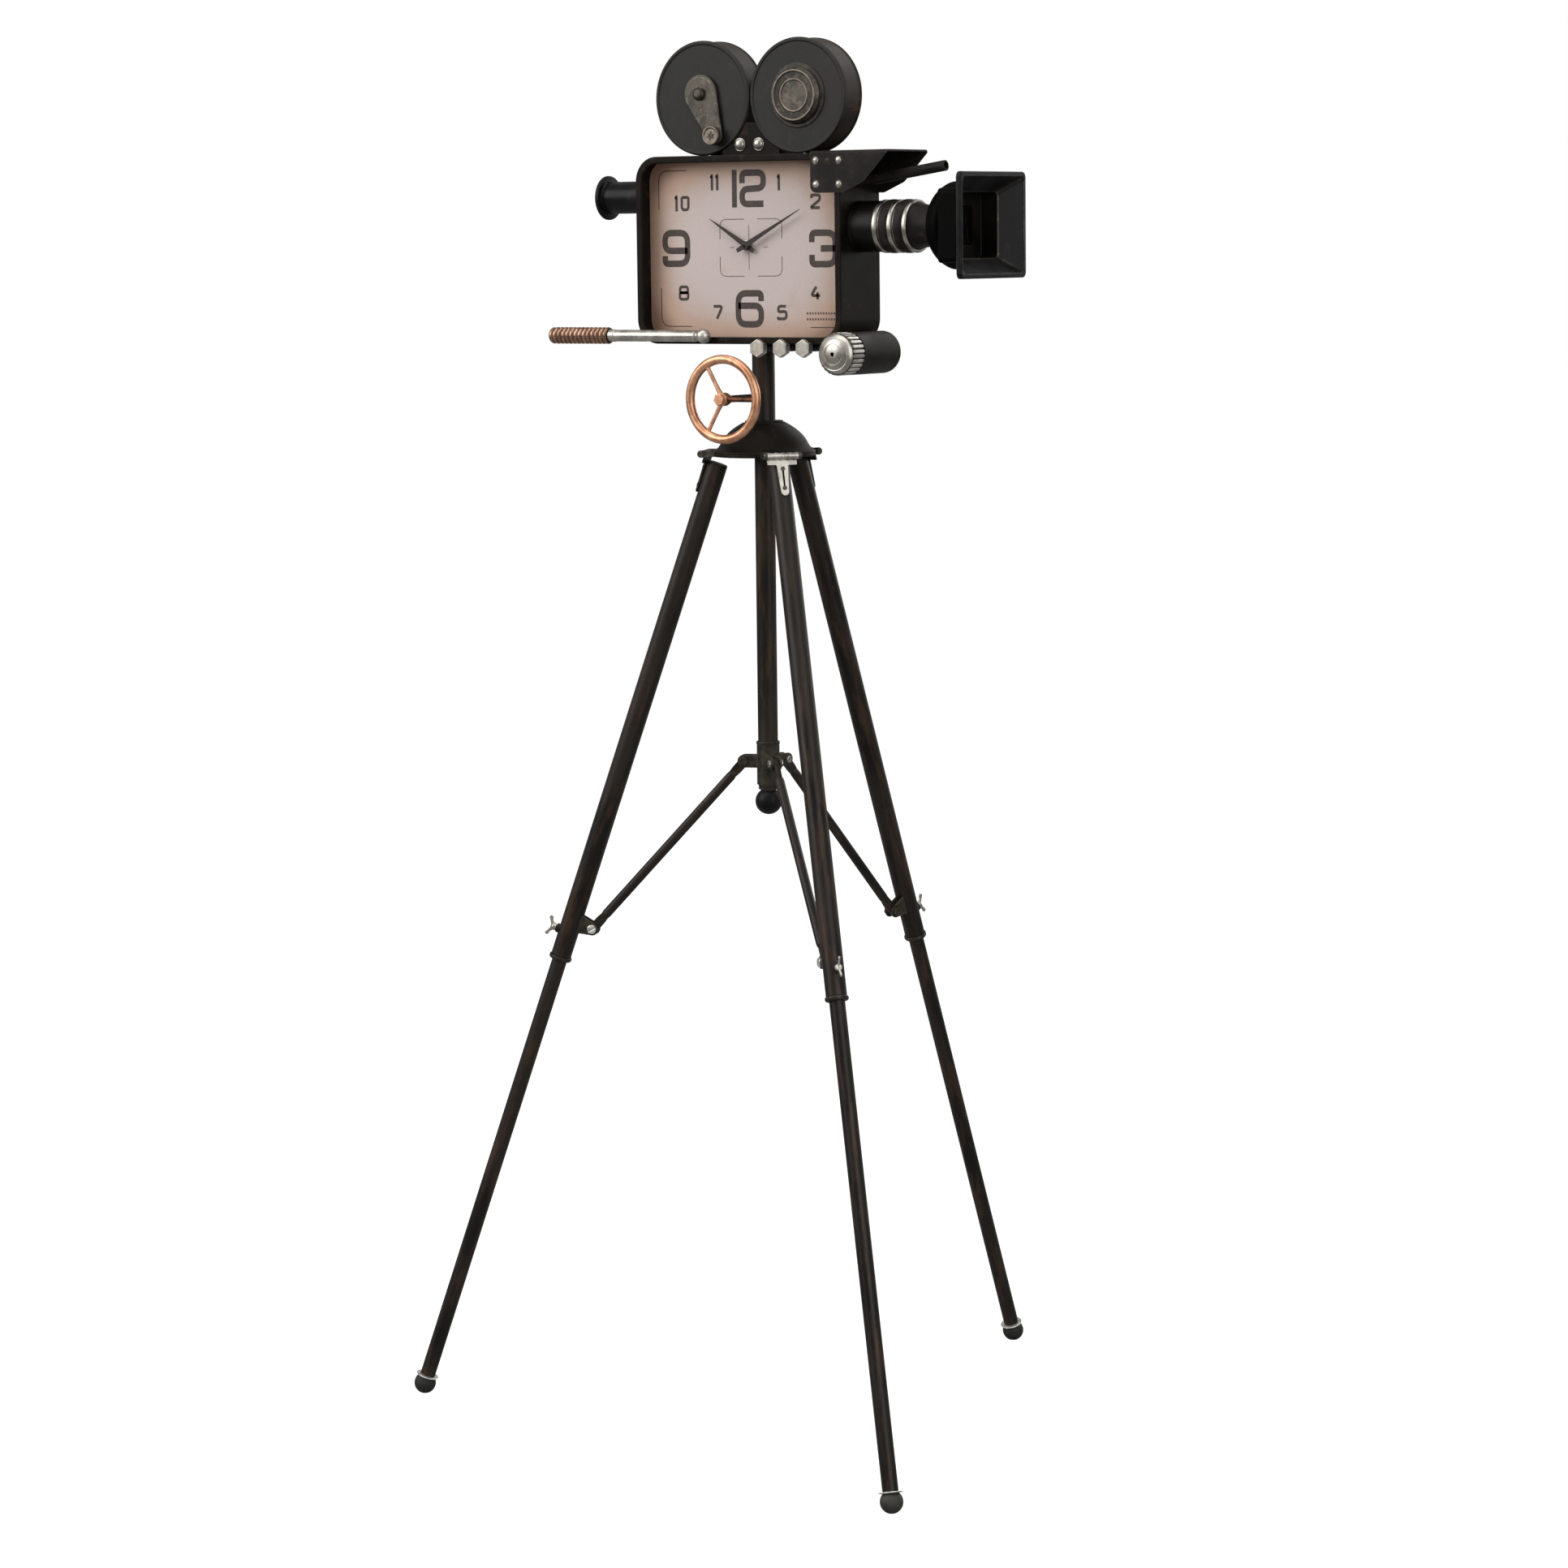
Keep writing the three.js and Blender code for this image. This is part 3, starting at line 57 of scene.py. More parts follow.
cameraLook = {
    "place": (2.7779, -4.0864, 1.3761),
    "heading": 34, "pitch": -7.266, "roll": -0.675,  # degrees
    "lens": 98.56, "sensor": 36, "clipEnd": 200,
}
studio = {
    "roomSeen": 1.0, "roomLight": 0.34,  # the white room behind the clock, and what it adds as light
    "floorHalf": 30, "floorTone": (0.32, 0.32, 0.32, 1), "floorGlow": 0.9, "floorRough": 0.8,
    "aim": (0, 0, 1.2),
    "lights": [  # name, place, side length, power
        ("keyLight", (-2.6, -3.4, 3.2), 3.2, 150),
        ("fillLight", (3.8, -1.8, 2.2), 3.2, 75),
        ("topLight", (0.3, -0.6, 4.2), 3.0, 60),
        ("backLight", (0.6, 3.8, 2.6), 3.2, 60),
    ],
}
white = (1, 1, 1, 1)


def makeCamera(look):
    heading, pitch, roll = (math.radians(look[key]) for key in ("heading", "pitch", "roll"))
    forward = Vector((-math.sin(heading) * math.cos(pitch), math.cos(heading) * math.cos(pitch),
                      math.sin(pitch)))
    right = forward.cross(Vector((0, 0, 1))).normalized()
    up = right.cross(forward)
    rolledRight = right * math.cos(roll) + up * math.sin(roll)
    rolledUp = up * math.cos(roll) - right * math.sin(roll)
    turn = Matrix((rolledRight, rolledUp, -forward)).transposed().to_4x4()
    lens = bpy.data.cameras.new("photoView")
    lens.lens = look["lens"]
    lens.sensor_width = look["sensor"]
    lens.clip_end = look["clipEnd"]
    viewer = bpy.data.objects.new("photoView", lens)
    viewer.matrix_world = Matrix.Translation(look["place"]) @ turn
    bpy.context.collection.objects.link(viewer)
    bpy.context.scene.camera = viewer


def whereSeen(tree, socket, lighting, seen):
    # one strength for light that falls on things, another for what the camera sees directly
    ray = tree.nodes.new("ShaderNodeLightPath").outputs["Is Camera Ray"]
    strength = tree.nodes.new("ShaderNodeMapRange")
    strength.inputs["To Min"].default_value = lighting
    strength.inputs["To Max"].default_value = seen
    tree.links.new(ray, strength.inputs["Value"])
    tree.links.new(strength.outputs["Result"], socket)


def makeStudio(look):
    world = bpy.data.worlds.new("studioWorld")
    world.use_nodes = True
    sky = world.node_tree.nodes["Background"]
    sky.inputs["Color"].default_value = white
    whereSeen(world.node_tree, sky.inputs["Strength"], look["roomLight"], look["roomSeen"])
    bpy.context.scene.world = world
    bpy.context.scene.view_settings.view_transform = "Standard"
    for name, place, side, power in look["lights"]:
        lamp = bpy.data.lights.new(name, "AREA")
        lamp.size = side
        lamp.energy = power
        holder = bpy.data.objects.new(name, lamp)
        holder.location = place
        holder.rotation_euler = (Vector(look["aim"]) - Vector(place)).to_track_quat("-Z", "Y").to_euler()
        bpy.context.collection.objects.link(holder)
    half = look["floorHalf"]
    mesh = bpy.data.meshes.new("studioFloor")
    mesh.from_pydata([(-half, -half, 0), (half, -half, 0), (half, half, 0), (-half, half, 0)], [],
                     [(0, 1, 2, 3)])
    floor = bpy.data.objects.new("studioFloor", mesh)
    bpy.context.collection.objects.link(floor)
    material = bpy.data.materials.new("floorPaper")
    material.use_nodes = True
    shader = material.node_tree.nodes["Principled BSDF"]
    shader.inputs["Base Color"].default_value = look["floorTone"]
    shader.inputs["Roughness"].default_value = look["floorRough"]
    shader.inputs["Specular IOR Level"].default_value = 0
    shader.inputs["Emission Color"].default_value = white
    whereSeen(material.node_tree, shader.inputs["Emission Strength"], 0, look["floorGlow"])
    mesh.materials.append(material)


makeCamera(cameraLook)
makeStudio(studio)
print("camera and studio ready")

# Materials


def tone(code):
    # "8a7f70" to linear light
    parts = [int(code[i:i + 2], 16) / 255 for i in (0, 2, 4)]
    linear = [c / 12.92 if c <= 0.04045 else ((c + 0.055) / 1.055) ** 2.4 for c in parts]
    return (*linear, 1)


class Nodes:
    # a material's node tree with short ways to add what the finishes need
    def __init__(self, name):
        self.material = bpy.data.materials.new(name)
        self.material.use_nodes = True
        self.tree = self.material.node_tree
        self.shader = self.tree.nodes["Principled BSDF"]
        self.coords = self.add("TexCoord").outputs["Object"]

    def add(self, kind, inputs=None, **settings):
        node = self.tree.nodes.new("ShaderNode" + kind)
        for key, value in settings.items():
            setattr(node, key, value)
        for key, value in (inputs or {}).items():
            self.put(value, node.inputs[key])
        return node

    def put(self, value, socket):
        if isinstance(value, bpy.types.NodeSocket):
            self.tree.links.new(value, socket)
        else:
            socket.default_value = value

    def stretched(self, scale=(1, 1, 1), shift=(0, 0, 0)):
        return self.add("Mapping", {"Vector": self.coords, "Scale": scale, "Location": shift}).outputs[0]

    def noise(self, size, detail=4, rough=0.55, vector=None):
        # size of one patch in millimetres
        vector = self.coords if vector is None else vector
        inputs = {"Scale": 1 / (size * mm), "Detail": detail, "Roughness": rough, "Vector": vector}
        return self.add("TexNoise", inputs).outputs[0]

    def ranged(self, value, low, high, start=0.0, end=1.0):
        inputs = {0: value, 1: low, 2: high, 3: start, 4: end}
        return self.add("MapRange", inputs, interpolation_type="SMOOTHSTEP").outputs[0]

    def maths(self, operation, a, b=0.0):
        return self.add("Math", {0: a, 1: b}, operation=operation).outputs[0]

    def mixed(self, share, a, b, blend="MIX"):
        return self.add("Mix", {0: share, 6: a, 7: b}, data_type="RGBA", blend_type=blend).outputs[2]

    def edges(self, width):
        # 0 on flat ground, 1 where the surface turns sharply
        bevel = self.add("Bevel", {"Radius": width * mm}, samples=4).outputs[0]
        flat = self.add("NewGeometry").outputs["Normal"]
        dot = self.add("VectorMath", {0: bevel, 1: flat}, operation="DOT_PRODUCT").outputs["Value"]
        return self.ranged(dot, 0.985, 0.8)

    def bumped(self, height, depth):
        bump = self.add("Bump", {"Height": height, "Distance": depth * mm, "Strength": 1.0})
        self.put(bump.outputs[0], self.shader.inputs["Normal"])

    def finish(self, colour, rough, metal=0.0):
        for value, name in ((colour, "Base Color"), (rough, "Roughness"), (metal, "Metallic")):
            self.put(value, self.shader.inputs[name])
        return self.material


def wornMetal(name, tones, patch, stretch, grain, rubFrom, rubShare, speckle, edge, edgeShare, metal,
              bareMetal, rough, grainBump, patchBump, specular):
    # paint or patina in two tones, rubbed through in patches, bare along the edges
    nodes = Nodes(name)
    dark, light, rub, bare = (tone(code) for code in tones.split())
    patches = nodes.noise(patch, 5, 0.6, nodes.stretched(stretch))
    rubs = nodes.noise(patch * 0.45, 6, 0.65, nodes.stretched(stretch, (7, 3, 5)))
    grains = nodes.noise(grain, 3, 0.7)
    colour = nodes.mixed(nodes.ranged(patches, 0.36, 0.64), dark, light)
    colour = nodes.mixed(nodes.ranged(rubs, rubFrom, rubFrom + 0.14, 0.0, rubShare), colour, rub)
    colour = nodes.mixed(nodes.ranged(grains, 0.3, 0.75, 0.0, speckle), colour, rub, "OVERLAY")
    wornEdge = nodes.maths("MULTIPLY", nodes.edges(edge), nodes.ranged(rubs, 0.38, 0.6, 0.15, edgeShare))
    colour = nodes.mixed(wornEdge, colour, bare)
    roughness = nodes.maths("SUBTRACT", nodes.ranged(patches, 0.3, 0.7, *rough),
                            nodes.maths("MULTIPLY", wornEdge, 0.1))
    nodes.bumped(nodes.maths("ADD", nodes.maths("MULTIPLY", grains, grainBump),
                             nodes.maths("MULTIPLY", patches, patchBump)), 1.0)
    nodes.shader.inputs["Specular IOR Level"].default_value = specular
    return nodes.finish(colour, roughness, nodes.ranged(wornEdge, 0.0, 1.0, metal, bareMetal))


# Tones are dark, light, rubbed and bare. Patch, grain and edge are in millimetres.
paintLook = dict(
    patch=42, stretch=(1, 1, 1), grain=1.6, rubFrom=0.56, rubShare=0.4, speckle=0.25, edge=1.1, edgeShare=0.6,
    metal=0.1, bareMetal=0.8, rough=(0.4, 0.56), grainBump=0.05, patchBump=0.1, specular=0.09,
)
tubeLook = dict(
    paintLook, patch=26, stretch=(1, 1, 0.16), rubFrom=0.5, rubShare=0.5, edge=0.8, rough=(0.34, 0.48),
    specular=0.24,
)
metalLook = dict(
    patch=20, stretch=(1, 1, 1), grain=0.9, rubFrom=0.58, rubShare=0.4, speckle=0.14, edge=0.8, edgeShare=0.9,
    metal=0.9, bareMetal=1.0, rough=(0.3, 0.44), grainBump=0.02, patchBump=0.04, specular=0.5,
)
pewterLook = dict(
    metalLook, patch=18, grain=1.1, rubFrom=0.5, rubShare=0.5, speckle=0.4, edge=0.9, metal=0.7,
    rough=(0.36, 0.52), grainBump=0.09, patchBump=0.14,
)
finishLooks = {
    "black": dict(paintLook, name="agedBlackPaint", tones="0f0c09 1c1712 3f3024 5d5246"),
    # a lighter copy of the black paint: painted light on the visor, its tube, the roller and the lens tube
    # from its first rib on
    "sheet": dict(paintLook, name="blackPaintPaintedLight", tones="1b1918 2c2826 453a30 5d5246"),
    # black enamel made darker still and almost without reflection: painted shade on the bell and on the back
    # box of the hood
    "bell": dict(paintLook, name="blackEnamelPaintedShade", tones="040404 080706 120d0a 231e1a", rubShare=0.25, metal=0.0,
                 grainBump=0.02, specular=0.03),
    "greened": dict(paintLook, name="greenedIron", tones="25221b 3e3a30 5c5546 8b8372", patch=14,
                    rough=(0.36, 0.5), specular=0.3),
    # a lighter copy of the black tube paint: painted light on the column, which gets less lamp light
    "column": dict(tubeLook, name="columnTubePaintedLight", tones="1d1812 352d25 52402f 5d5246"),
    "tube": dict(tubeLook, name="agedBlackTube", tones="120f0b 2a231d 4a3527 5d5246"),
    "cast": dict(paintLook, name="castBlackIron", tones="120f0b 1a1611 3f3024 83786a", grain=2.6,
                 rough=(0.42, 0.62), grainBump=0.16, patchBump=0.3),
    "enamel": dict(paintLook, name="blackEnamel", tones="0b0a09 151312 2a221c 5d5246", rubShare=0.25,
                   speckle=0.1, edgeShare=0.45, metal=0.05, rough=(0.3, 0.42), grainBump=0.02, specular=0.12),
    "hood": dict(paintLook, name="hoodEnamel", tones="0f0f10 1f1e1e 37332f 77736e", rubShare=0.3, edge=1.6,
                 edgeShare=1.0, metal=0.05, rough=(0.32, 0.46), specular=0.12),
    "reelFace": dict(paintLook, name="reelCharcoal", tones="1a1916 292723 3a342b 5b4d3f", patch=60,
                     rubShare=0.3, speckle=0.3, rough=(0.44, 0.58), grainBump=0.06, specular=0.26),
    "reelRim": dict(paintLook, name="reelBrownRim", tones="211a15 382d25 544335 5d5246", patch=24,
                    stretch=(1, 0.12, 1), rubShare=0.5, metal=0.2, rough=(0.4, 0.54), specular=0.14),
    # painted shade: near-black paint inside the hood's throat and inside the knob's hole
    "dark": dict(paintLook, name="recessPaintedShade", tones="0c0a09 161412 221c18 5d5246", rubShare=0.3,
                 edgeShare=0.2, metal=0.2, rough=(0.5, 0.7)),
    "movement": dict(paintLook, name="mouldedPlastic", tones="151516 1d1d1f 232325 2e2e30", grain=0.5,
                     rubShare=0.2, metal=0.0, bareMetal=0.0, rough=(0.45, 0.6), grainBump=0.03),
    "cell": dict(paintLook, name="cellSleeve", tones="4d565b 5d676c 6c767b 8a9297", rubShare=0.2, metal=0.2,
                 bareMetal=0.5, rough=(0.35, 0.45), grainBump=0.01, patchBump=0.02),
    "pewter": dict(pewterLook, name="darkPewter", tones="38342f 57524a 746c61 aca296"),
    "darkPewter": dict(pewterLook, name="blackenedPewter", tones="24211d 3d3832 5e564b a39a8e", patch=16,
                       grain=1.0, rubFrom=0.52, edgeShare=1.0, metal=0.6, rough=(0.38, 0.55)),
    "silver": dict(metalLook, name="wornSilver", tones="9f9a91 c8c4bb 6d655b ece9e2"),
    "washer": dict(metalLook, name="brightWasher", tones="cbc8c0 f1efea 96907f ffffff", patch=6, grain=0.6,
                   rubFrom=0.6, speckle=0.1, edge=0.4, metal=0.75, bareMetal=0.9, rough=(0.3, 0.4),
                   patchBump=0.03),
    "copper": dict(metalLook, name="wornCopper", tones="bd8766 e3b08d 744e3a efcfb6", patch=22, grain=1.0,
                   rubFrom=0.57, rubShare=0.45, speckle=0.12, edge=0.7, edgeShare=0.8, metal=0.85,
                   rough=(0.32, 0.44), patchBump=0.05),
    "darkCopper": dict(metalLook, name="darkCopper", tones="3b2319 6e4630 25160f b98766", patch=12,
                       rubFrom=0.55, rubShare=0.6, speckle=0.3, edge=0.7, edgeShare=0.8, metal=0.8,
                       rough=(0.34, 0.5), grainBump=0.06, patchBump=0.1),
    "softRing": dict(metalLook, name="rubbedRing", tones="695f56 8a7f74 4d4238 b3a99d", patch=10, grain=0.8,
                     rubFrom=0.55, rubShare=0.5, speckle=0.3, edge=0.7, metal=0.75, rough=(0.34, 0.48),
                     grainBump=0.05, patchBump=0.05),
    "lensRing": dict(metalLook, name="polishedRing", tones="8f8a82 b9b5ac 6a6359 dedad2", patch=14,
                     grain=0.8, speckle=0.1, edge=0.5, edgeShare=0.5, metal=1.0, rough=(0.32, 0.42),
                     grainBump=0.01, patchBump=0.02),
}
finishes = {finish: wornMetal(**look) for finish, look in finishLooks.items()}


dialLook = {
    "centre": (-7.5, 106.75, 0), "span": (262, 196), "squareness": 3.2, "cloud": 70, "fibre": 1.8,
    "drift": 0.5, "middle": "c0b3af", "edge": "b89b88", "rim": "8b6853", "smudge": "b08f80",
}


def dialPaper(centre, span, squareness, cloud, fibre, drift, middle, edge, rim, smudge):
    nodes = Nodes("agedDialPaper")
    parts = nodes.add("SeparateXYZ", {0: nodes.stretched(shift=tuple(-c * mm for c in centre))})
    reach = []
    for index, width in enumerate(span):
        share = nodes.maths("ABSOLUTE", nodes.maths("MULTIPLY", parts.outputs[index], 2 / (width * mm)))
        reach.append(nodes.maths("POWER", share, squareness))
    outward = nodes.maths("ADD", *reach)
    clouds = nodes.noise(cloud, 5, 0.6)
    fine = nodes.noise(fibre, 4, 0.7)
    smudges = nodes.noise(cloud * 0.55, 6, 0.7, nodes.stretched(shift=(0.4, 0.2, 0)))
    drifting = nodes.maths("MULTIPLY", nodes.maths("SUBTRACT", clouds, 0.5), drift)
    outward = nodes.maths("ADD", outward, drifting)
    colour = nodes.mixed(nodes.ranged(outward, 0.12, 0.95), tone(middle), tone(edge))
    # darker rim all round the edges: partly an aged vignette in the paper, partly painted shade from the case
    # lip over the sunken dial
    colour = nodes.mixed(nodes.ranged(outward, 0.85, 1.5, 0.0, 0.8), colour, tone(rim))
    colour = nodes.mixed(nodes.ranged(smudges, 0.55, 0.75, 0.0, 0.3), colour, tone(smudge))
    colour = nodes.mixed(nodes.ranged(fine, 0.3, 0.8, 0.0, 0.2), colour, tone(rim))
    nodes.bumped(fine, 0.06)
    return nodes.finish(colour, nodes.ranged(clouds, 0.3, 0.7, 0.55, 0.7))


def inkOf(name, dark, light, fade):
    nodes = Nodes(name)
    wear = nodes.noise(5, 6, 0.7)
    specks = nodes.noise(0.8, 3, 0.8)
    colour = nodes.mixed(nodes.ranged(wear, 0.4, 0.7), tone(dark), tone(light))
    colour = nodes.mixed(nodes.ranged(specks, 0.55, 0.75, 0.0, fade), colour, tone("8f7c6e"))
    return nodes.finish(colour, nodes.ranged(wear, 0.3, 0.7, 0.6, 0.75))


def grooved(name, axes, inner, outer, dark, light, deep):
    # metal whose grooves, nearer to the axis, are dark
    nodes = Nodes(name)
    parts = nodes.add("SeparateXYZ", {0: nodes.coords})
    flat = nodes.add("CombineXYZ", {0: parts.outputs[axes[0]], 1: parts.outputs[axes[1]]})
    away = nodes.add("VectorMath", {0: flat.outputs[0]}, operation="LENGTH").outputs["Value"]
    patches = nodes.noise(9, 5, 0.65)
    grain = nodes.noise(0.9, 3, 0.7)
    depth = nodes.ranged(away, inner * mm, outer * mm)
    colour = nodes.mixed(nodes.ranged(patches, 0.35, 0.65), tone(dark), tone(light))
    colour = nodes.mixed(depth, tone(deep), colour)
    colour = nodes.mixed(nodes.ranged(grain, 0.4, 0.8, 0.0, 0.3), colour, tone(deep))
    nodes.bumped(nodes.maths("ADD", grain, patches), 0.08)
    return nodes.finish(colour, nodes.ranged(depth, 0.0, 1.0, 0.6, 0.34),
                        nodes.ranged(depth, 0.0, 1.0, 0.4, 0.95))


def rubberOf(name, dark, light, speck):
    nodes = Nodes(name)
    patches = nodes.noise(9, 5, 0.6)
    grain = nodes.noise(0.7, 3, 0.7)
    colour = nodes.mixed(nodes.ranged(patches, 0.35, 0.65), tone(dark), tone(light))
    colour = nodes.mixed(nodes.ranged(grain, 0.5, 0.8, 0.0, 0.4), colour, tone(speck))
    nodes.bumped(nodes.maths("ADD", grain, patches), 0.1)
    return nodes.finish(colour, nodes.ranged(patches, 0.3, 0.7, 0.55, 0.75))


def lensGlass(name, dark, light):
    nodes = Nodes(name)
    patches = nodes.noise(20, 3, 0.5)
    nodes.shader.inputs["Coat Weight"].default_value = 1.0
    nodes.shader.inputs["Coat Roughness"].default_value = 0.04
    colour = nodes.mixed(nodes.ranged(patches, 0.3, 0.7), tone(dark), tone(light))
    return nodes.finish(colour, nodes.ranged(patches, 0.3, 0.7, 0.05, 0.1))


finishes.update({
    "dial": dialPaper(**dialLook),
    "ink": inkOf("digitInk", "342a26", "4b3f39", 0.5),
    "paleInk": inkOf("lineInk", "6c5f59", "7d716a", 0.5),
    "hand": inkOf("handPaint", "241b18", "382c27", 0.1),
    "grip": grooved("copperCoil", (1, 2), 8.3, 9.6, "8d6650", "bf9a80", "22150f"),
    "knurl": grooved("silverKnurl", (0, 2), 22.8, 23.8, "aaa59b", "d8d4cc", "262320"),
    "rubber": rubberOf("footRubber", "1f1f1a", "37362f", "4b4940"),
    "blackRubber": rubberOf("blackFootRubber", "0f0e0d", "1b1a18", "2b2926"),
    "glass": lensGlass("lensGlass", "0a0c11", "11141b"),
})
print("materials:", len(finishes))

# Shapes, all in millimetres. A shape is its points, its faces and a finish number for each face.


def eased(points, reach, steps=3, closed=False):
    # rounds the corners of an outline, and keeps its ends
    count = len(points)
    result = []
    for i, point in enumerate(points):
        here = Vector(point)
        if not closed and i in (0, count - 1):
            result.append(here)
            continue
        before = Vector(points[i - 1]) - here
        after = Vector(points[(i + 1) % count]) - here
        cut = min(reach, before.length * 0.45, after.length * 0.45)
        if cut < 0.02 or before.angle(after) > math.radians(168):
            result.append(here)
            continue
        start, end = here + before.normalized() * cut, here + after.normalized() * cut
        for k in range(steps + 1):
            t = k / steps
            result.append(start * (1 - t) ** 2 + here * (2 * t * (1 - t)) + end * t * t)
    return result


def smoothed(points, steps=4):
    # a curve through given points
    result = []
    last = len(points) - 1
    for i in range(last):
        a, b, c, d = (Vector(points[min(max(k, 0), last)]) for k in (i - 1, i, i + 1, i + 2))
        for k in range(steps):
            t = k / steps
            result.append(((b * 2) + (c - a) * t + (a * 2 - b * 5 + c * 4 - d) * t ** 2
                           + (b * 3 - a - c * 3 + d) * t ** 3) / 2)
    result.append(Vector(points[-1]))
    return [tuple(p) for p in result]


def arc(radius, start, end, x=0.0, y=0.0, steps=12):
    angles = [math.radians(start + (end - start) * k / steps) for k in range(steps + 1)]
    return [(x + math.cos(a) * radius, y + math.sin(a) * radius) for a in angles]


def circle(radius, count=48, turn=0):
    return arc(radius, turn, turn + 360, steps=count)[:-1]


def hexagon(acrossFlats, turn=0):
    return circle(acrossFlats / 2 / math.cos(math.pi / 6), 6, turn)


def roundedBox(width, height, radius, x=0.0, y=0.0, steps=8):
    w, h = width / 2 - radius, height / 2 - radius
    corners = [(w, h, 0), (-w, h, 90), (-w, -h, 180), (w, -h, 270)]
    return [p for cx, cy, turn in corners for p in arc(radius, turn, turn + 90, x + cx, y + cy, steps)]


def inset(outline, distance):
    count = len(outline)
    result = []
    for i, point in enumerate(outline):
        here, before, after = Vector(point), Vector(outline[i - 1]), Vector(outline[(i + 1) % count])
        first, second = here - before, after - here
        if first.length < 1e-6 or second.length < 1e-6:
            result.append(tuple(here))
            continue
        a = Vector((-first.y, first.x)).normalized()
        b = Vector((-second.y, second.x)).normalized()
        result.append(tuple(here + (a + b) * (distance / max((a + b).dot(a), 0.35))))
    return result


def skinned(loops, closed=False, tints=None):
    points, faces, marks, starts = [], [], [], []
    for loop in loops:
        starts.append(len(points))
        points.extend(Vector(p) for p in loop)
    last = len(loops) - 1
    tints = tints or [0] * (last + 1)
    pairs = [(i, i + 1) for i in range(last)] + ([(last, 0)] if closed else [])
    for row, (a, b) in enumerate(pairs):
        count = max(len(loops[a]), len(loops[b]))
        for i in range(count):
            j = (i + 1) % count
            if len(loops[a]) == 1:
                faces.append((starts[a], starts[b] + j, starts[b] + i))
            elif len(loops[b]) == 1:
                faces.append((starts[a] + i, starts[a] + j, starts[b]))
            else:
                faces.append((starts[a] + i, starts[a] + j, starts[b] + j, starts[b] + i))
            marks.append(tints[row])
    if not closed:
        for end in (0, last):
            if len(loops[end]) > 2:
                faces.append(tuple(range(starts[end], starts[end] + len(loops[end]))))
                marks.append(tints[min(end, len(tints) - 1)])
    return {"points": points, "faces": faces, "tints": marks}


axisTurns = {
    "z": lambda x, y, h: (x, y, h), "x": lambda x, y, h: (h, x, y),
    "y": lambda x, y, h: (y, h, x), "front": lambda x, y, h: (x, -h, y),
}


def turned(profile, axis="z", sides=64, ease=0.5, steps=3, tintOf=None):
    # [radius, distance along the axis]; closed on itself unless both ends are on the axis
    solid = profile[0][0] < 1e-6 and profile[-1][0] < 1e-6
    outline = eased(profile, ease, steps, not solid)
    place = axisTurns[axis]
    loops = [[place(x, y, along) for x, y in (circle(radius, sides) if radius >= 1e-6 else [(0, 0)])]
             for radius, along in outline]
    rows = zip(outline, outline[1:] if solid else outline[1:] + outline[:1])
    tints = [tintOf((a[0] + b[0]) / 2, (a[1] + b[1]) / 2) for a, b in rows] if tintOf else None
    return skinned(loops, not solid, tints)


def rod(radius, low, high, axis="z", sides=40, ease=0.5, bore=0):
    return turned([(bore, low), (radius, low), (radius, high), (bore, high)], axis, sides, ease)


def plate(outline, thickness, bevel=0.4, steps=2, hole=None, tint=0):
    # from z = 0 upwards, with rounded edges; a hole has as many points as the outline
    sides = []
    for k in range(steps + 1):
        angle = math.pi / 2 * k / steps
        sides.append((bevel * (1 - math.sin(angle)), bevel * (1 - math.cos(angle))))
    sides += [(inward, thickness - up) for inward, up in reversed(sides)]
    loops = [[(x, y, up) for x, y in inset(outline, inward)] for inward, up in sides]
    if hole:
        loops += [[(x, y, thickness) for x, y in hole], [(x, y, 0) for x, y in hole]]
    return skinned(loops, bool(hole), [tint] * len(loops))


def aligned(outline, radius, x=0.0, y=0.0):
    # a circle with a point in the direction of each point of the outline
    directions = [Vector((px - x, py - y)).normalized() * radius for px, py in outline]
    return [(x + d.x, y + d.y) for d in directions]


def ribbon(line, width, thickness):
    # a flat stroke of even width along a line
    points = [Vector(p) for p in line]
    loops = []
    for i, here in enumerate(points):
        before = here - points[max(i - 1, 0)]
        after = points[min(i + 1, len(points) - 1)] - here
        a = Vector((-before.y, before.x)).normalized() if before.length > 1e-6 else None
        b = Vector((-after.y, after.x)).normalized() if after.length > 1e-6 else None
        a, b = a or b, b or a
        side = (a + b) * (width / 2 / max((a + b).dot(a), 0.5))
        left, right = here + side, here - side
        loops.append([(*left, 0), (*right, 0), (*right, thickness), (*left, thickness)])
    return skinned(loops)


def ball(radius, start=-90, end=90, steps=16):
    return arc(radius, start, end, steps=steps)


def slotScrew(radius, height, slotWidth=1.0):
    # a round head with a straight slot, from z = 0 upwards
    half = height * 0.5
    angle = math.degrees(math.asin(slotWidth / 2 / radius))
    lip = arc(radius, angle, 180 - angle, steps=14)
    top = put(plate(lip, half, height * 0.35, 3), at(0, 0, half))
    return [rod(radius, 0, half, sides=32, ease=0.3), top, put(top, spun(180, "Z"))]


def domedHead(radius, height, sides=32):
    curve = [(x * radius, height * (0.25 + 0.75 * y)) for x, y in arc(1, 0, 90, steps=7)[:-1]]
    return turned([(0, 0), (radius, 0), *curve, (0, height)], sides=sides, ease=0.2)


def at(x=0.0, y=0.0, z=0.0):
    return Matrix.Translation((x, y, z))


def spun(angle, axis):
    return Matrix.Rotation(math.radians(angle), 4, axis)


facing = spun(90, "X")  # a plate's y goes up and its thickness comes forward
backing = spun(-90, "X")  # its thickness goes to the rear


def moved(place, x=0.0, y=0.0, z=0.0):
    # a place shifted along its own axes, in millimetres
    return place @ at(x * mm, y * mm, z * mm)


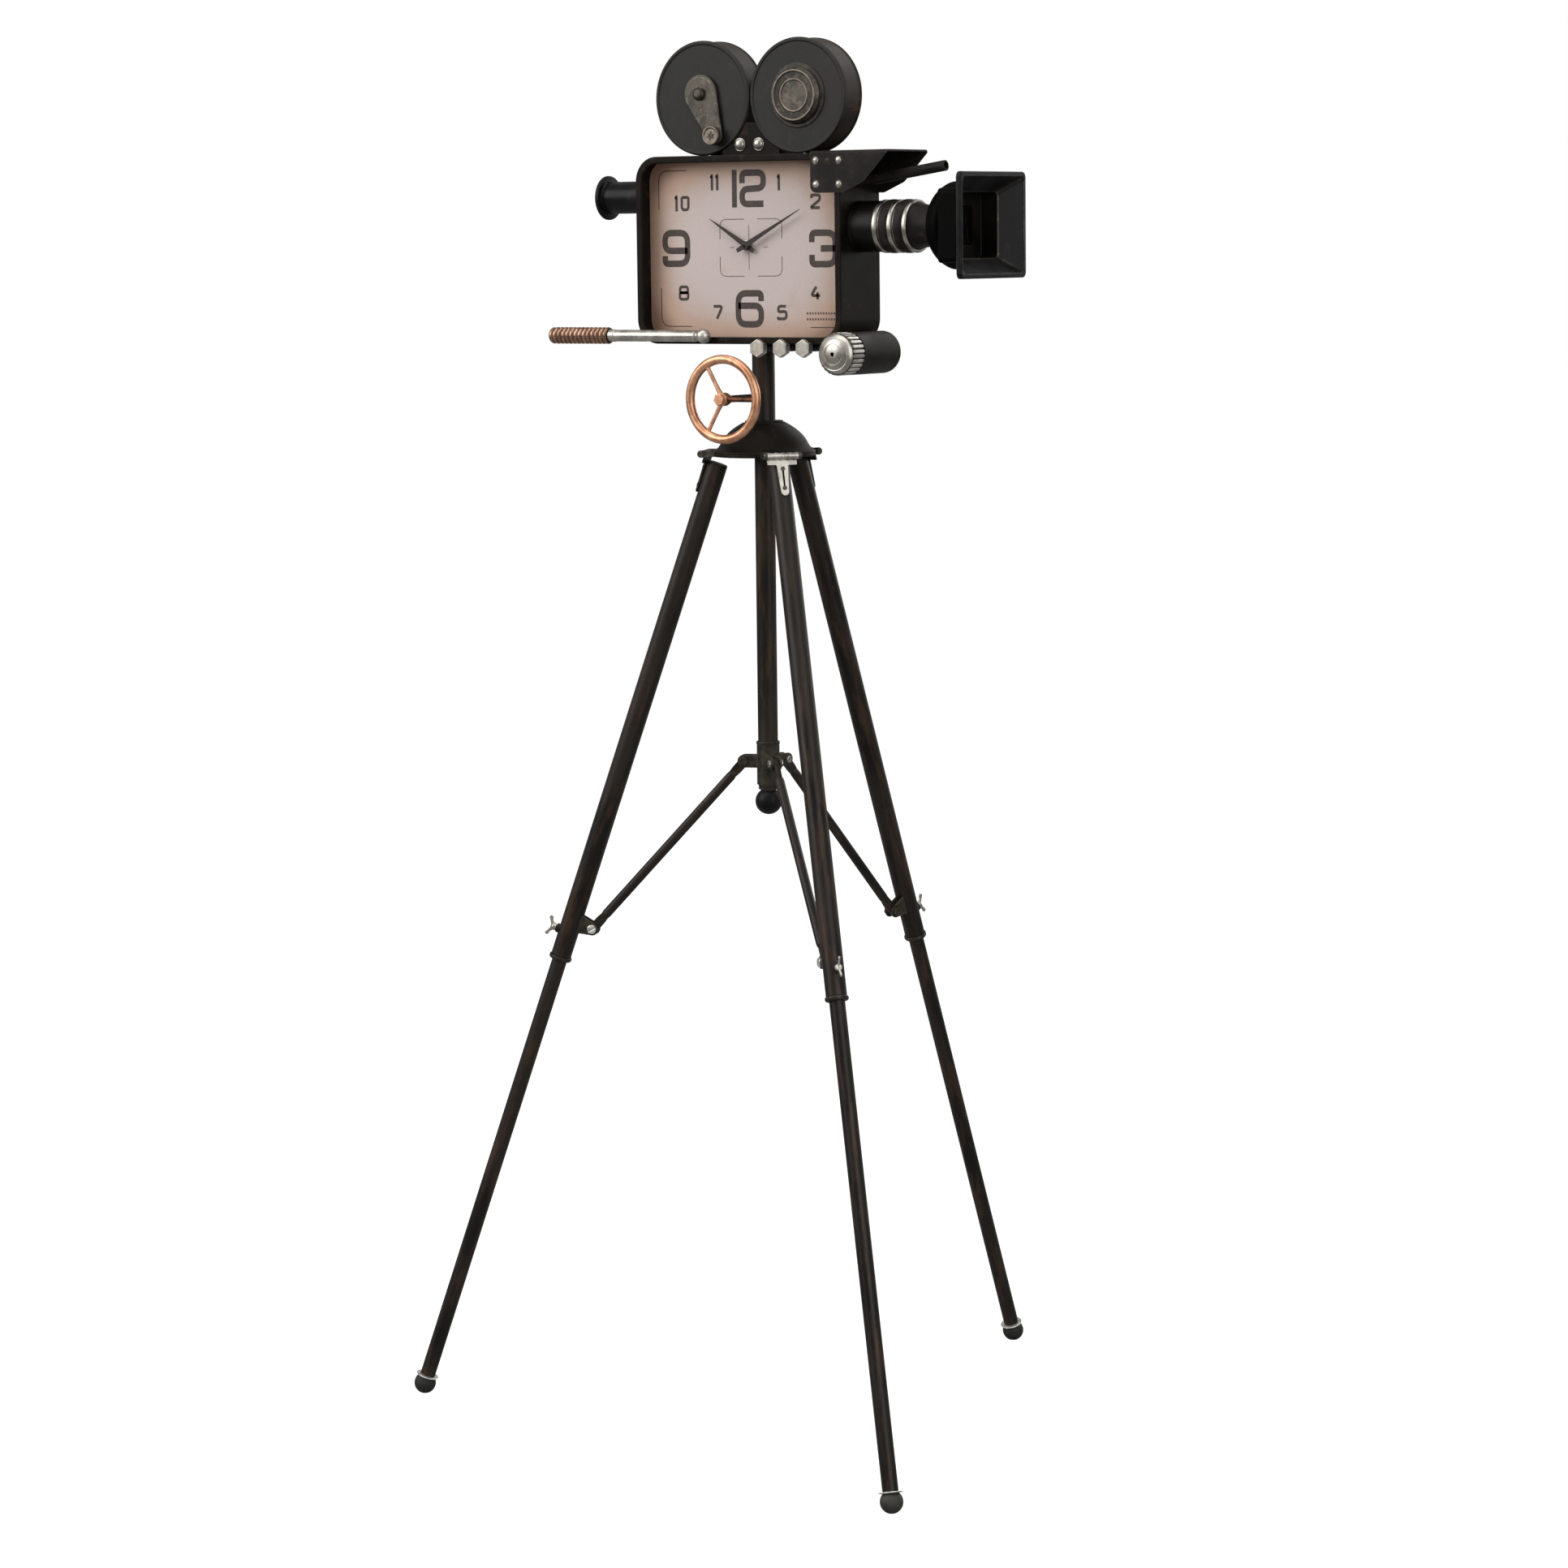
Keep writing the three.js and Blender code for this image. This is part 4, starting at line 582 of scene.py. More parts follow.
def localFrame(origin, xAxis, zAxis):
    x, z = Vector(xAxis).normalized(), Vector(zAxis).normalized()
    return Matrix.Translation(origin) @ Matrix((x, z.cross(x), z)).transposed().to_4x4()


def put(shape, matrix):
    return dict(shape, points=[matrix @ p for p in shape["points"]])


def tinted(shape, tint):
    return dict(shape, tints=[tint] * len(shape["faces"]))


sharpAngle = math.radians(35)


def build(name, stands, shapes, place, paints, body="hub"):
    # stands: the CAD node that this piece takes the place of, if any
    points, faces, tints = [], [], []
    for shape in shapes:
        start = len(points)
        points.extend(tuple(p * mm) for p in shape["points"])
        faces.extend(tuple(start + k for k in face) for face in shape["faces"])
        tints.extend(shape["tints"])
    mesh = bpy.data.meshes.new(name)
    mesh.from_pydata(points, [], faces)
    mesh.polygons.foreach_set("material_index", tints)
    work = bmesh.new()
    work.from_mesh(mesh)
    bmesh.ops.remove_doubles(work, verts=work.verts, dist=0.002 * mm)
    bmesh.ops.dissolve_degenerate(work, edges=work.edges, dist=0.001 * mm)
    bmesh.ops.recalc_face_normals(work, faces=work.faces)
    work.to_mesh(mesh)
    work.free()
    mesh.shade_smooth()
    mesh.set_sharp_from_angle(angle=sharpAngle)
    for paint in paints.split():
        mesh.materials.append(finishes[paint])
    piece = bpy.data.objects.new(name, mesh)
    bpy.context.collection.objects.link(piece)
    piece.matrix_world = place
    piece.modifiers.new("flatFaces", "WEIGHTED_NORMAL").keep_sharp = True
    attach(piece, body)
    if stands:
        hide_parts(stands)
    return piece


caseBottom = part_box("case")[0][2]


def inHead(x=0.0, y=0.0, z=0.0):
    # millimetres from the bottom of the case, over the column axis
    return at(x * mm, y * mm, caseBottom + z * mm)


# Case, back plate and dial

caseLook = {
    "width": 281, "height": 213.5, "front": -40, "rear": 42, "x": -7.5, "corner": 28, "wall": 3, "lip": 8,
    "lipDepth": 4, "ease": 1.5, "clearance": 0.4,
    "window": (66, 66, 6), "coverThickness": 1.6, "coverInset": 2,
    "screw": (3.4, 1.8, 0.9), "screwInset": 22,
    "dial": -17, "dialThickness": 2, "dialHole": 4.4, "handLevel": 111,
}
caseX, caseRight, handLevel = caseLook["x"], caseLook["x"] + caseLook["width"] / 2, caseLook["handLevel"]


def caseOutline(look, inward, corner, steps=8):
    width, height = look["width"], look["height"]
    return roundedBox(width - inward * 2, height - inward * 2, corner, caseX, height / 2, steps)


def makeCase(look):
    wall, lip, front, rear = look["wall"], look["lip"], look["front"], look["rear"]
    inner = front + look["lipDepth"]
    profile = [(wall, rear), (0, rear), (0, front), (lip, front), (lip, inner), (wall, inner)]
    loops = []
    for inward, y in eased(profile, look["ease"], 4, True):
        outline = caseOutline(look, inward, max(look["corner"] - inward, wall), 14)
        loops.append([(x, y, z) for x, z in outline])
    build("camera_case", "case", [skinned(loops, True)], inHead(), "black")


def makeCoverAndDial(look):
    inner = look["wall"] + look["clearance"]
    outline = caseOutline(look, inner, look["corner"] - inner)
    seat = look["rear"] - look["coverInset"]
    window = roundedBox(*look["window"], caseX, handLevel)
    shapes = [put(plate(outline, look["coverThickness"], hole=window), at(0, seat) @ facing)]
    reachX, reachZ = look["width"] / 2 - look["screwInset"], look["height"] / 2 - look["screwInset"]
    for sx in (-1, 1):
        for sz in (-1, 1):
            spot = at(caseX + sx * reachX, seat, look["height"] / 2 + sz * reachZ) @ backing
            shapes += [put(tinted(part, 1), spot) for part in slotScrew(*look["screw"])]
    build("back_plate", "rear_cover", shapes, inHead(), "black pewter")
    hole = aligned(outline, look["dialHole"], caseX, handLevel)
    board = plate(outline, look["dialThickness"], 0.2, 2, hole)
    place = inHead(0, look["dial"] + look["dialThickness"]) @ facing
    build("dial_board", "dial", [board], place, "dial")


makeCase(caseLook)
makeCoverAndDial(caseLook)
print("case, back plate and dial")

# Print on the dial: centre lines of the strokes in a unit box, and their places

glyphs = {
    "bar": [[(0.5, 0), (0.5, 1)]],
    "1": [[(0.05, 0.8), (0.5, 1), (0.5, 0)]],
    "2": [[(0, 0.67), (0, 1), (1, 1), (1, 0.51), (0, 0.47), (0, 0), (1, 0)]],
    "3": [[(0, 0.7), (0, 1), (1, 1), (1, 0), (0, 0), (0, 0.3)], [(0.38, 0.5), (1, 0.5)]],
    "6": [[(1, 0.75), (1, 1), (0, 1), (0, 0), (1, 0), (1, 0.6), (0, 0.6)]],
    "9": [[(0, 0.25), (0, 0), (1, 0), (1, 1), (0, 1), (0, 0.42), (1, 0.42)]],
    "0": [[(0.5, 1), (1, 1), (1, 0), (0, 0), (0, 1), (0.5, 1)]],
    "two": [[(0, 0.75), (0, 1), (1, 1), (1, 0.62), (0, 0.08), (0, 0), (1, 0)]],
    "4": [[(0.6, 1), (0, 0.3), (1, 0.3)], [(0.72, 0.56), (0.72, 0)]],
    "5": [[(0.95, 1), (0.08, 1), (0, 0.55), (1, 0.6), (1, 0), (0, 0), (0, 0.16)]],
    "7": [[(0, 1), (1, 1), (0.38, 0)]],
    "8": [[(0.5, 0.53), (0.04, 0.53), (0.04, 1), (0.96, 1), (0.96, 0.53), (0.5, 0.53)],
          [(0.5, 0.53), (1, 0.53), (1, 0), (0, 0), (0, 0.53), (0.5, 0.53)]],
}
printLook = {
    "lift": 0.06, "thickness": 0.12,
    "sizes": {"large": (42.6, 7.4, 11), "small": (17.5, 3.3, 4.2)},  # height, stroke, rounding
    "signs": [  # size, glyph, centre X and height, width
        ("large", "bar", -25.6, 175.8, 6.6), ("large", "2", -0.3, 175.8, 36.5),
        ("large", "6", -6.3, 39.6, 39), ("large", "9", -107.8, 108.9, 39), ("large", "3", 95.5, 107.2, 39),
        ("small", "1", -56.6, 183, 7), ("small", "1", -49.2, 183, 7), ("small", "1", 35.6, 181.6, 7),
        ("small", "1", -106.6, 159.8, 7), ("small", "0", -94.6, 159.8, 12.6),
        ("small", "two", 85.3, 159.9, 14.4), ("small", "8", -97.9, 57.7, 15),
        ("small", "4", 83.9, 57.3, 15.5), ("small", "7", -50.4, 35.4, 15.5), ("small", "5", 38.3, 35.4, 14.6),
    ],
    "corners": {
        "paths": ([(-131.4, 153), (-131.4, 197.3), (-92.3, 197.3)],
                  [(-129.7, 63.5), (-129.7, 19.5), (-87, 19.5)]),
        "width": 1.0, "radius": 13,
    },
    "scale": {"left": 71, "right": 111, "rows": (34.4, 27.8), "count": 11, "dot": (1.9, 2.3)},
    "rule": {"path": [(77, 18.6), (109, 18.6)], "width": 0.9},
    "finder": {"x": (-46.4, 38.9), "z": (76.6, 141.2), "gap": (18, 20), "corner": 9, "width": 0.95},
    "cross": {"x": -6.4, "z": 109.4, "from": 6, "to": 25, "side": 20, "sideLength": 6, "width": 0.8},
}


def makePrint(look):
    def line(path, width, reach=0, steps=6):
        return ribbon(eased(path, reach, steps), width, look["thickness"])

    digits = []
    for size, glyph, x, z, wide in look["signs"]:
        tall, stroke, ease = look["sizes"][size]
        stroke = wide if glyph == "bar" else stroke
        w, h = wide - stroke, tall - (0 if glyph in ("bar", "1") else stroke)
        for path in glyphs[glyph]:
            digits.append(line([(x + (px - 0.5) * w, z + (pz - 0.5) * h) for px, pz in path], stroke, ease))
    corners, scale, rule = look["corners"], look["scale"], look["rule"]
    digits += [line(path, corners["width"], corners["radius"], 8) for path in corners["paths"]]
    step = (scale["right"] - scale["left"]) / scale["count"]
    dotWidth, dotHeight = scale["dot"]
    for z in scale["rows"]:
        for k in range(scale["count"]):
            x = scale["left"] + step * (k + 0.5)
            digits.append(line([(x, z - dotHeight / 2), (x, z + dotHeight / 2)], dotWidth))
    digits.append(line(rule["path"], rule["width"]))
    place = inHead(0, caseLook["dial"] - look["lift"]) @ facing
    build("dial_numerals", None, digits, place, "ink")

    finder, cross = look["finder"], look["cross"]
    gapX, gapZ = finder["gap"]
    lines = []
    for side, edgeX in zip((-1, 1), finder["x"]):
        for up, edgeZ in zip((-1, 1), finder["z"]):
            path = [(edgeX, (sum(finder["z"]) + up * gapZ) / 2), (edgeX, edgeZ),
                    ((sum(finder["x"]) + side * gapX) / 2, edgeZ)]
            lines.append(line(path, finder["width"], finder["corner"]))
    x, z = cross["x"], cross["z"]
    for up in (-1, 1):
        near = x + up * cross["side"]
        lines.append(line([(x, z + up * cross["from"]), (x, z + up * cross["to"])], cross["width"]))
        lines.append(line([(near, z), (near + up * cross["sideLength"], z)], cross["width"]))
    build("dial_finder_lines", None, lines, place, "paleInk")


makePrint(printLook)
print("dial print")

# Hands and clockwork

handsLook = {
    "thickness": 0.8, "tail": 12, "nut": {"size": 12, "height": 2.2, "y": -17.3},
    "hands": {
        "hour": {"y": -20.8, "length": 59, "width": 6.6, "angle": 301.5, "hub": 4.4},
        "minute": {"y": -24.2, "length": 86, "width": 6.4, "angle": 62, "hub": 4.6},
    },
}


def makeHands(look):
    tail, nut = look["tail"], look["nut"]
    for name, hand in look["hands"].items():
        half, length, hub = hand["width"] / 2, hand["length"], hand["hub"]
        side = [(half * 0.72, -tail), (half * 0.86, -tail * 0.4), (half, 0), (half * 0.9, length * 0.12),
                (half * 0.62, length * 0.45), (half * 0.3, length * 0.8), (0.35, length - 0.6),
                (0.12, length)]
        blade = plate(side + [(-x, y) for x, y in reversed(side)], look["thickness"], 0.22)
        boss = turned([(0, -0.1), (hub, -0.1), (hub, 1.0), (hub * 0.5, 1.35), (0, 1.35)], sides=40, ease=0.3)
        place = inHead(caseX, hand["y"], handLevel) @ facing @ spun(-hand["angle"], "Z")
        build(f"{name}_needle", f"{name}_hand", [blade, boss], place, "hand", f"{name}_hand")
    build("hand_nut_hex", "hand_nut", [plate(hexagon(nut["size"]), nut["height"], 0.3)],
          inHead(caseX, nut["y"], handLevel) @ facing, "silver")


clockworkLook = {
    "front": -14.7, "depth": 15.5, "size": 56, "corner": 5, "sink": 0.4,
    "setWheel": 7, "wheelHeight": 2.4, "wheelDrop": 2,
    "ribs": (-22, -17, 17, 22), "rib": (2, 9, 0.9), "ribHeight": 1.2, "ribLevel": 18,
    "bush": [(0, -2), (4, -2), (4, 5), (2.6, 5), (2.6, 8.4), (1.7, 8.4), (1.7, 11.2), (0, 11.2)],
    "bushY": -15, "cell": [(0, -25), (7.1, -25), (7.1, 25), (2.7, 25), (2.7, 26.5), (0, 26.5)],
    "cellShift": 0.75,
}


def makeClockwork(look):
    rear, sink = look["front"] + look["depth"], -look["sink"]
    body = plate(roundedBox(look["size"], look["size"], look["corner"]), look["depth"], 1.2, 3)
    bush = turned(look["bush"], "front", 32, 0.2)
    behind = at(caseX, rear, handLevel) @ backing @ spun(180, "Z")
    shapes = [put(body, at(caseX, rear, handLevel) @ facing), put(bush, at(caseX, look["bushY"], handLevel)),
              put(rod(look["setWheel"], 0, look["wheelHeight"], ease=0.4),
                  behind @ at(0, -look["wheelDrop"], sink))]
    rib = plate(roundedBox(*look["rib"], steps=4), look["ribHeight"], 0.3)
    shapes += [put(rib, behind @ at(x, look["ribLevel"], sink)) for x in look["ribs"]]
    build("clockwork_box", "movement", shapes, inHead(), "movement")
    low, high = (Vector(corner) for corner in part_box("battery"))
    place = moved(Matrix.Translation((low + high) / 2), -look["cellShift"])
    build("dry_cell", "battery", [turned(look["cell"], "x", 48)], place, "cell")


makeHands(handsLook)
makeClockwork(clockworkLook)
print("hands and clockwork")

# Lens, hood, eyepiece, visor

lensLook = {
    "level": 131, "start": caseRight + 0.3, "barrel": 28.5, "barrelLength": 33, "ring": 29.75,
    "ringWidth": 6.5, "rib": 30, "ribWidth": 13.3, "seat": 26, "neck": 23.5, "neckLength": 24, "wall": 3,
    "bell": 48.5, "bellLength": 27, "recess": 31, "recessDepth": 9, "gap": 0.3, "ringClearance": 0.35,
    "ribShares": [(0.93, 0), (0.985, 0.16), (1, 0.34), (1, 0.66), (0.985, 0.84), (0.93, 1)],
    "bellShares": [(0.5, 0), (0.56, 0.06), (0.72, 0.2), (0.86, 0.42), (0.95, 0.66), (1, 0.88), (0.98, 1)],
}


def makeLens(level, start, barrel, barrelLength, ring, ringWidth, rib, ribWidth, seat, neck, neckLength, wall,
             bell, bellLength, recess, recessDepth, gap, ringClearance, ribShares, bellShares):
    bore, collar, along = neck - wall, barrel * 1.02, barrelLength
    profile = [(bore, 0), (collar, 0), (collar, 3), (barrel, 4), (barrel, along - 2), (barrel * 1.015, along)]
    rings = []
    for i in range(3):
        rings.append(along)
        profile += [(seat, along), (seat, along + ringWidth)]
        along += ringWidth
        if i < 2:
            profile += [(rib * r, along + ribWidth * x) for r, x in ribShares]
            along += ribWidth
    profile += smoothed([(barrel * 0.93, along), (neck * 1.05, along + neckLength * 0.2),
                         (neck, along + neckLength * 0.55), (neck * 1.01, along + neckLength * 0.85),
                         (neck * 1.03, along + neckLength)])
    profile.append((bore, along + neckLength))
    ribStarts = [x + ringWidth for x in rings[:2]]

    def paintOf(radius, x):
        if radius > seat and any(s + 0.4 < x < s + 3.2 for s in ribStarts):
            return 1
        return 2 if x > ribStarts[0] else 0

    build("lens_tube", "lens_barrel", [turned(profile, "x", 72, 0.7, 3, paintOf)], inHead(start, 0, level),
          "enamel lensRing sheet")
    inner, end = seat + ringClearance, ringWidth - gap
    hoop = turned([(inner, gap), (ring - 0.9, gap), (ring, 1.6), (ring, ringWidth - 1.6), (ring - 0.9, end),
                   (inner, end)], "x", 72)
    for i, x in enumerate(rings):
        build(f"lens_hoop_{i + 1}", f"lens_ring_{i + 1}", [hoop], inHead(start + x, 0, level), "lensRing")

    skin = smoothed([(r * bell, x * bellLength) for r, x in bellShares])
    dish, glassRadius = bellLength - recessDepth, recess * 0.9
    shell = turned([(0, 0.6), (skin[0][0], 0), *skin[1:], (recess + 3, bellLength),
                    (recess, bellLength - 1.2), (recess * 0.62, dish), (0, dish)], "x", 96, 0.6)
    bellStart = start + along + neckLength + gap
    place = inHead(bellStart, 0, level)
    # the bell takes black enamel darkened as painted shade
    build("lens_bell_shell", "lens_bell", [shell], place, "bell")
    dome = [(glassRadius * x, dish + 1.4 + 4.6 * y) for x, y in arc(1, 0, 90, steps=10)[:-1]]
    glass = turned([(0, dish + 0.2), (glassRadius, dish + 0.2), *dome, (0, dish + 6)], "x", 72, 0.2)
    build("lens_glass", None, [glass], place, "glass")
    return bellStart + bellLength + gap


hoodStart = makeLens(**lensLook)

hoodLook = {
    "length": 45, "front": (140, 117), "back": (92, 82), "lip": 6, "lipWidth": 6, "funnel": 21, "wall": 3,
    "skin": 2.3, "throat": (84, 72), "corner": 6, "hole": 31, "boxRows": 7, "cornerSteps": 6,
}


def makeHood(length, front, back, lip, lipWidth, funnel, wall, skin, throat, corner, hole, boxRows,
             cornerSteps):
    (w, h), (bw, bh), (tw, th) = front, back, throat
    iw, ih = w - lipWidth * 2, h - lipWidth * 2
    edge, flare = length - lip, length - funnel
    share = (edge - flare) / funnel
    fw, fh = (t + (m - t) * share + skin * 2 for t, m in ((tw, iw), (th, ih)))
    outside = [
        (0, bw - 2, bh - 2), (0.4, bw - 0.6, bh - 0.6), (1.2, bw, bh), (flare * 0.5, bw, bh),
        (flare - 1.4, bw, bh), (flare, bw + 0.8, bh + 0.6),
        (flare + 1.4, bw + (fw - bw) * 0.1, bh + (fh - bh) * 0.1), (edge - 0.1, fw, fh),
        (edge, w - 1.4, h - 1.4), (edge + 0.5, w - 0.3, h - 0.3), (edge + 1.2, w, h), (length - 1.4, w, h),
        (length - 0.5, w - 0.7, h - 0.7), (length, w - 2, h - 2),
    ]
    inside = [
        (length, iw + 2, ih + 2), (length - 0.6, iw + 0.6, ih + 0.6), (length - 1.6, iw, ih),
        (flare + 1.4, tw + 3.4, th + 3.4), (flare, tw + 0.4, th + 0.4), (flare - 1, tw, th),
        (wall + 0.8, tw, th), (wall, tw - 1.6, th - 1.6),
    ]
    loops = [[(x, y, z) for y, z in roundedBox(width, height, corner, steps=cornerSteps)]
             for x, width, height in outside + inside]
    bore = aligned(roundedBox(tw - 1.6, th - 1.6, corner, steps=cornerSteps), hole)
    loops += [[(wall, y, z) for y, z in bore], [(0, y, z) for y, z in bore]]
    throatRow = len(outside) + 3
    # finish 3 on the back box outside is black enamel darkened as painted shade; finish 1 from the throat to
    # the bore is painted shade in the recess
    tints = [3 if i < boxRows else 1 if throatRow <= i < len(loops) - 1 else 0 for i in range(len(loops))]
    tints[throatRow] = 2
    shade = skinned(loops, True, tints)
    for k in range(len(loops[0])):
        if k % (cornerSteps + 1) in (2, 3):  # the middle of each rounded corner
            shade["tints"][(throatRow - 1) * len(loops[0]) + k] = 2
    build("lens_shade", "lens_hood", [shade], inHead(hoodStart, 0, lensLook["level"]),
          "hood dark darkPewter bell")


makeHood(**hoodLook)

eyeLook = {
    "level": 168, "radius": 18.5, "length": 69.5, "flange": 25.5, "flangeLength": 5, "bore": 13, "gap": 0.3,
    "groove": 0.7, "grooveSpan": (3, 5),
}


def makeEyepiece(level, radius, length, flange, flangeLength, bore, gap, groove, grooveSpan):
    end, neck = -length, flangeLength - length
    near, far = (flange - inward for inward in grooveSpan)
    profile = [
        (bore, 0), (radius, 0), (radius, neck + 1.6), (radius + 0.5, neck + 0.4), (flange - 1.2, neck),
        (flange, neck - 1.2), (flange, end + 1.1), (flange - 1.1, end), (near, end),
        (near - 0.4, end + groove), (far + 0.4, end + groove), (far, end), (flange * 0.7, end),
        *smoothed([(flange * 0.68, end + 0.6), (bore * 1.12, neck), (bore, neck + flangeLength)]),
    ]

    def paintOf(r, x):
        return 1 if far + 0.2 < r < near - 0.2 and x < end + 1 else 0

    build("finder_eyepiece", "eyepiece", [turned(profile, "x", 64, 0.5, 3, paintOf)],
          inHead(caseX - caseLook["width"] / 2 - gap, 0, level), "hood pewter")


makeEyepiece(**eyeLook)

visorLook = {
    "start": 95, "tip": 196, "heel": 138, "waist": 165, "top": 215.8, "lower": 169, "waistLevel": 180.5,
    "corner": 8, "front": -42.3, "rear": 44.3, "thickness": 2, "bend": 3, "tipDrop": 3.5,
    "screws": [(102.8, 205), (133.3, 205), (102.8, 178.4), (133.3, 178.4)], "screw": (3.7, 2.6),
    "washer": 4.7, "filled": (118, 205), "filledHead": (2.4, 0.5),
}


def makeVisor(start, tip, heel, waist, top, lower, waistLevel, corner, front, rear, thickness, bend, tipDrop,
              screws, screw, washer, filled, filledHead):
    def lowerAt(x):
        if x < start + corner:
            return lower + corner - math.sqrt(max(corner ** 2 - (start + corner - x) ** 2, 0))
        if x <= heel:
            return lower
        if x <= waist:
            return lower + (waistLevel - lower) * (x - heel) / (waist - heel)
        return waistLevel + (top - tipDrop - waistLevel) * (x - waist) / (tip - waist)

    def section(x, inward):
        # from the front flank's lower edge over the top to the rear one's
        foot, high, radius = lowerAt(x), top - bend, bend - inward
        near, far = front + inward, rear - inward
        path = [(near, foot + (high - foot) * k / 4) for k in range(5)]
        path += arc(radius, 180, 90, near + radius, high, 5)[1:]
        path += arc(radius, 90, 0, far - radius, high, 5)
        path += [(far, high + (foot - high) * k / 4) for k in range(1, 5)]
        return [(x, y, z) for y, z in path]

    stations = [start + corner * (1 - math.cos(math.pi / 2 * k / 6)) for k in range(7)]
    stations += [112, 125, heel - 1, heel + 1, 150, waist - 1, waist + 1, 180, tip]
    shapes = [skinned([section(x, 0) + section(x, thickness)[::-1] for x in stations])]
    sides = ((front, facing), (rear, backing))
    for x, z in screws:
        for y, turn in sides:
            spot = at(x, y, z) @ turn
            shapes.append(put(tinted(domedHead(*screw), 1), spot))
            shapes.append(put(tinted(rod(washer, -0.2, 0.5, sides=32, ease=0.2), 2), spot))
    for y, turn in sides:
        shapes.append(put(tinted(domedHead(*filledHead), 2), at(filled[0], y, filled[1]) @ turn))
    build("visor_sheet", "visor", shapes, inHead(), "sheet silver darkPewter")


makeVisor(**visorLook)

rodLook = {"radius": 6, "bore": 4.2, "level": 180.5, "tilt": 8.3, "length": 116, "gap": 0.4}
visorTube = rod(rodLook["radius"], rodLook["gap"], rodLook["length"], "x", bore=rodLook["bore"])
visorTubePlace = inHead(caseRight, 0, rodLook["level"]) @ spun(-rodLook["tilt"], "Y")
build("visor_tube", "visor_rod", [visorTube], visorTubePlace, "sheet")
print("lens, hood, eyepiece and visor")

# Film reels, crank, bracket

reelLook = {
    "radius": 65, "thickness": 36, "front": -16, "places": {"left": -70, "right": 61}, "level": 278.8,
    "hole": 8, "flange": 3.2, "seam": 0.9, "body": 64.2, "rim": 4, "sunk": 1.2, "disc": 2,
}
reelPlaces, reelLevel = reelLook["places"], reelLook["level"]
reelFront = reelLook["front"] + 0.9  # what is fixed to a drum starts inside its rim


def makeReels(radius, thickness, front, places, level, hole, flange, seam, body, rim, sunk, disc):
    edge, bed, floor = thickness - flange, radius - rim, thickness - sunk
    profile = [
        (hole, 0), (radius - 1.2, 0), (radius, 1.2), (radius, flange), (body, flange + 0.5),
        (body, edge - seam - 0.4), (body - 0.8, edge - seam), (body - 0.8, edge), (radius, edge + 0.2),
        (radius, thickness - 1.4), (radius - 1.4, thickness), (bed, thickness), (bed - 0.8, floor),
        (0.001, floor), (0.001, floor - disc), (bed, floor - disc), (bed, disc), (hole, disc),
    ]
    drum = turned(profile, "front", 112, 0.5, 2, lambda r, along: 1 if r > body - 1.5 and along < edge else 0)
    for side, x in places.items():
        build(f"film_drum_{side}", f"reel_{side}", [drum], inHead(x, front + thickness, level),
              "reelFace reelRim")


makeReels(**reelLook)

hubLook = {"radius": 32, "height": 9.5, "collar": 36.5, "outer": 27.7, "inner": 17.9}


def makeHub(radius, height, collar, outer, inner):
    def paintOf(r, along):
        onRing = along > height * 0.88 and (abs(r - outer) < 1.3 or abs(r - inner) < 1.3)
        slope = outer + 1.3 < r < radius and along > height * 0.42
        return 1 if onRing else 2 if slope or (r < inner - 1.2 and along > height * 0.5) else 0

    profile = [
        (0, 0), (collar, 0), (collar, 0.7), (collar - 0.8, 1.2), (radius + 0.5, 1.2), (radius, 1.7),
        (radius, height * 0.4), (outer + 1.4, height * 0.84), (outer + 0.8, height), (outer - 0.8, height),
        (outer - 1.5, height * 0.82), (inner + 1.4, height * 0.82), (inner + 0.7, height * 0.95),
        (inner - 0.7, height * 0.95), (inner - 1.4, height * 0.84), (0, height * 0.86),
    ]
    build("reel_hub_rings", "reel_hub", [turned(profile, "front", 96, 0.5, 3, paintOf)],
          inHead(reelPlaces["right"], reelFront, reelLevel), "darkPewter softRing pewter")


makeHub(**hubLook)

crankLook = {
    "big": 22, "small": 10.5, "reach": 51, "angle": 21.5, "rise": 4.7, "lift": 1.2, "thickness": 3.5,
    "stud": 7.5, "studHeight": 6, "knob": 11, "knobHeight": 8,
}


def makeCrank(big, small, reach, angle, rise, lift, thickness, stud, studHeight, knob, knobHeight):
    lean = math.degrees(math.asin((big - small) / reach))
    outline = arc(big, -lean, 180 + lean, steps=40) + arc(small, 180 + lean, 360 - lean, 0, -reach, 24)
    top, foot = lift + thickness, lift + thickness / 2
    pin = turned([(0, 0), (stud, 0), (stud, top + 3), (stud * 0.86, top + studHeight * 0.8),
                  (stud * 0.55, top + studHeight), (0, top + studHeight * 1.02)], sides=48, ease=0.6,
                 tintOf=lambda r, along: 0 if r < stud * 0.6 else 1)
    grip = turned([(0, foot), (knob * 0.5, foot), (knob * 0.5, top + knobHeight * 0.3),
                   (knob, top + knobHeight * 0.52), (knob, top + knobHeight * 0.88),
                   (knob * 0.94, top + knobHeight), (knob * 0.8, top + knobHeight),
                   (knob * 0.74, top + knobHeight * 0.84), (0, top + knobHeight * 0.84)], sides=48)
    star = [p for pair in zip(circle(knob * 0.52, 6), circle(knob * 0.24, 6, 30)) for p in pair]
    flower = plate(star, 1.2, 0.2, 1, tint=1)
    shapes = [put(plate(outline, thickness, 1.3, 4), at(0, 0, lift)),
              put(plate(inset(outline, 3.2), 0.7, 0.3), at(0, 0, top - 0.25)), pin,
              put(tinted(grip, 2), at(0, -reach)), put(flower, at(0, -reach, top + knobHeight * 0.8))]
    place = inHead(reelPlaces["left"], reelFront, reelLevel + rise) @ facing @ spun(angle, "Z")
    build("crank_handle", "reel_crank", shapes, place, "pewter darkPewter softRing", "crank")


makeCrank(**crankLook)

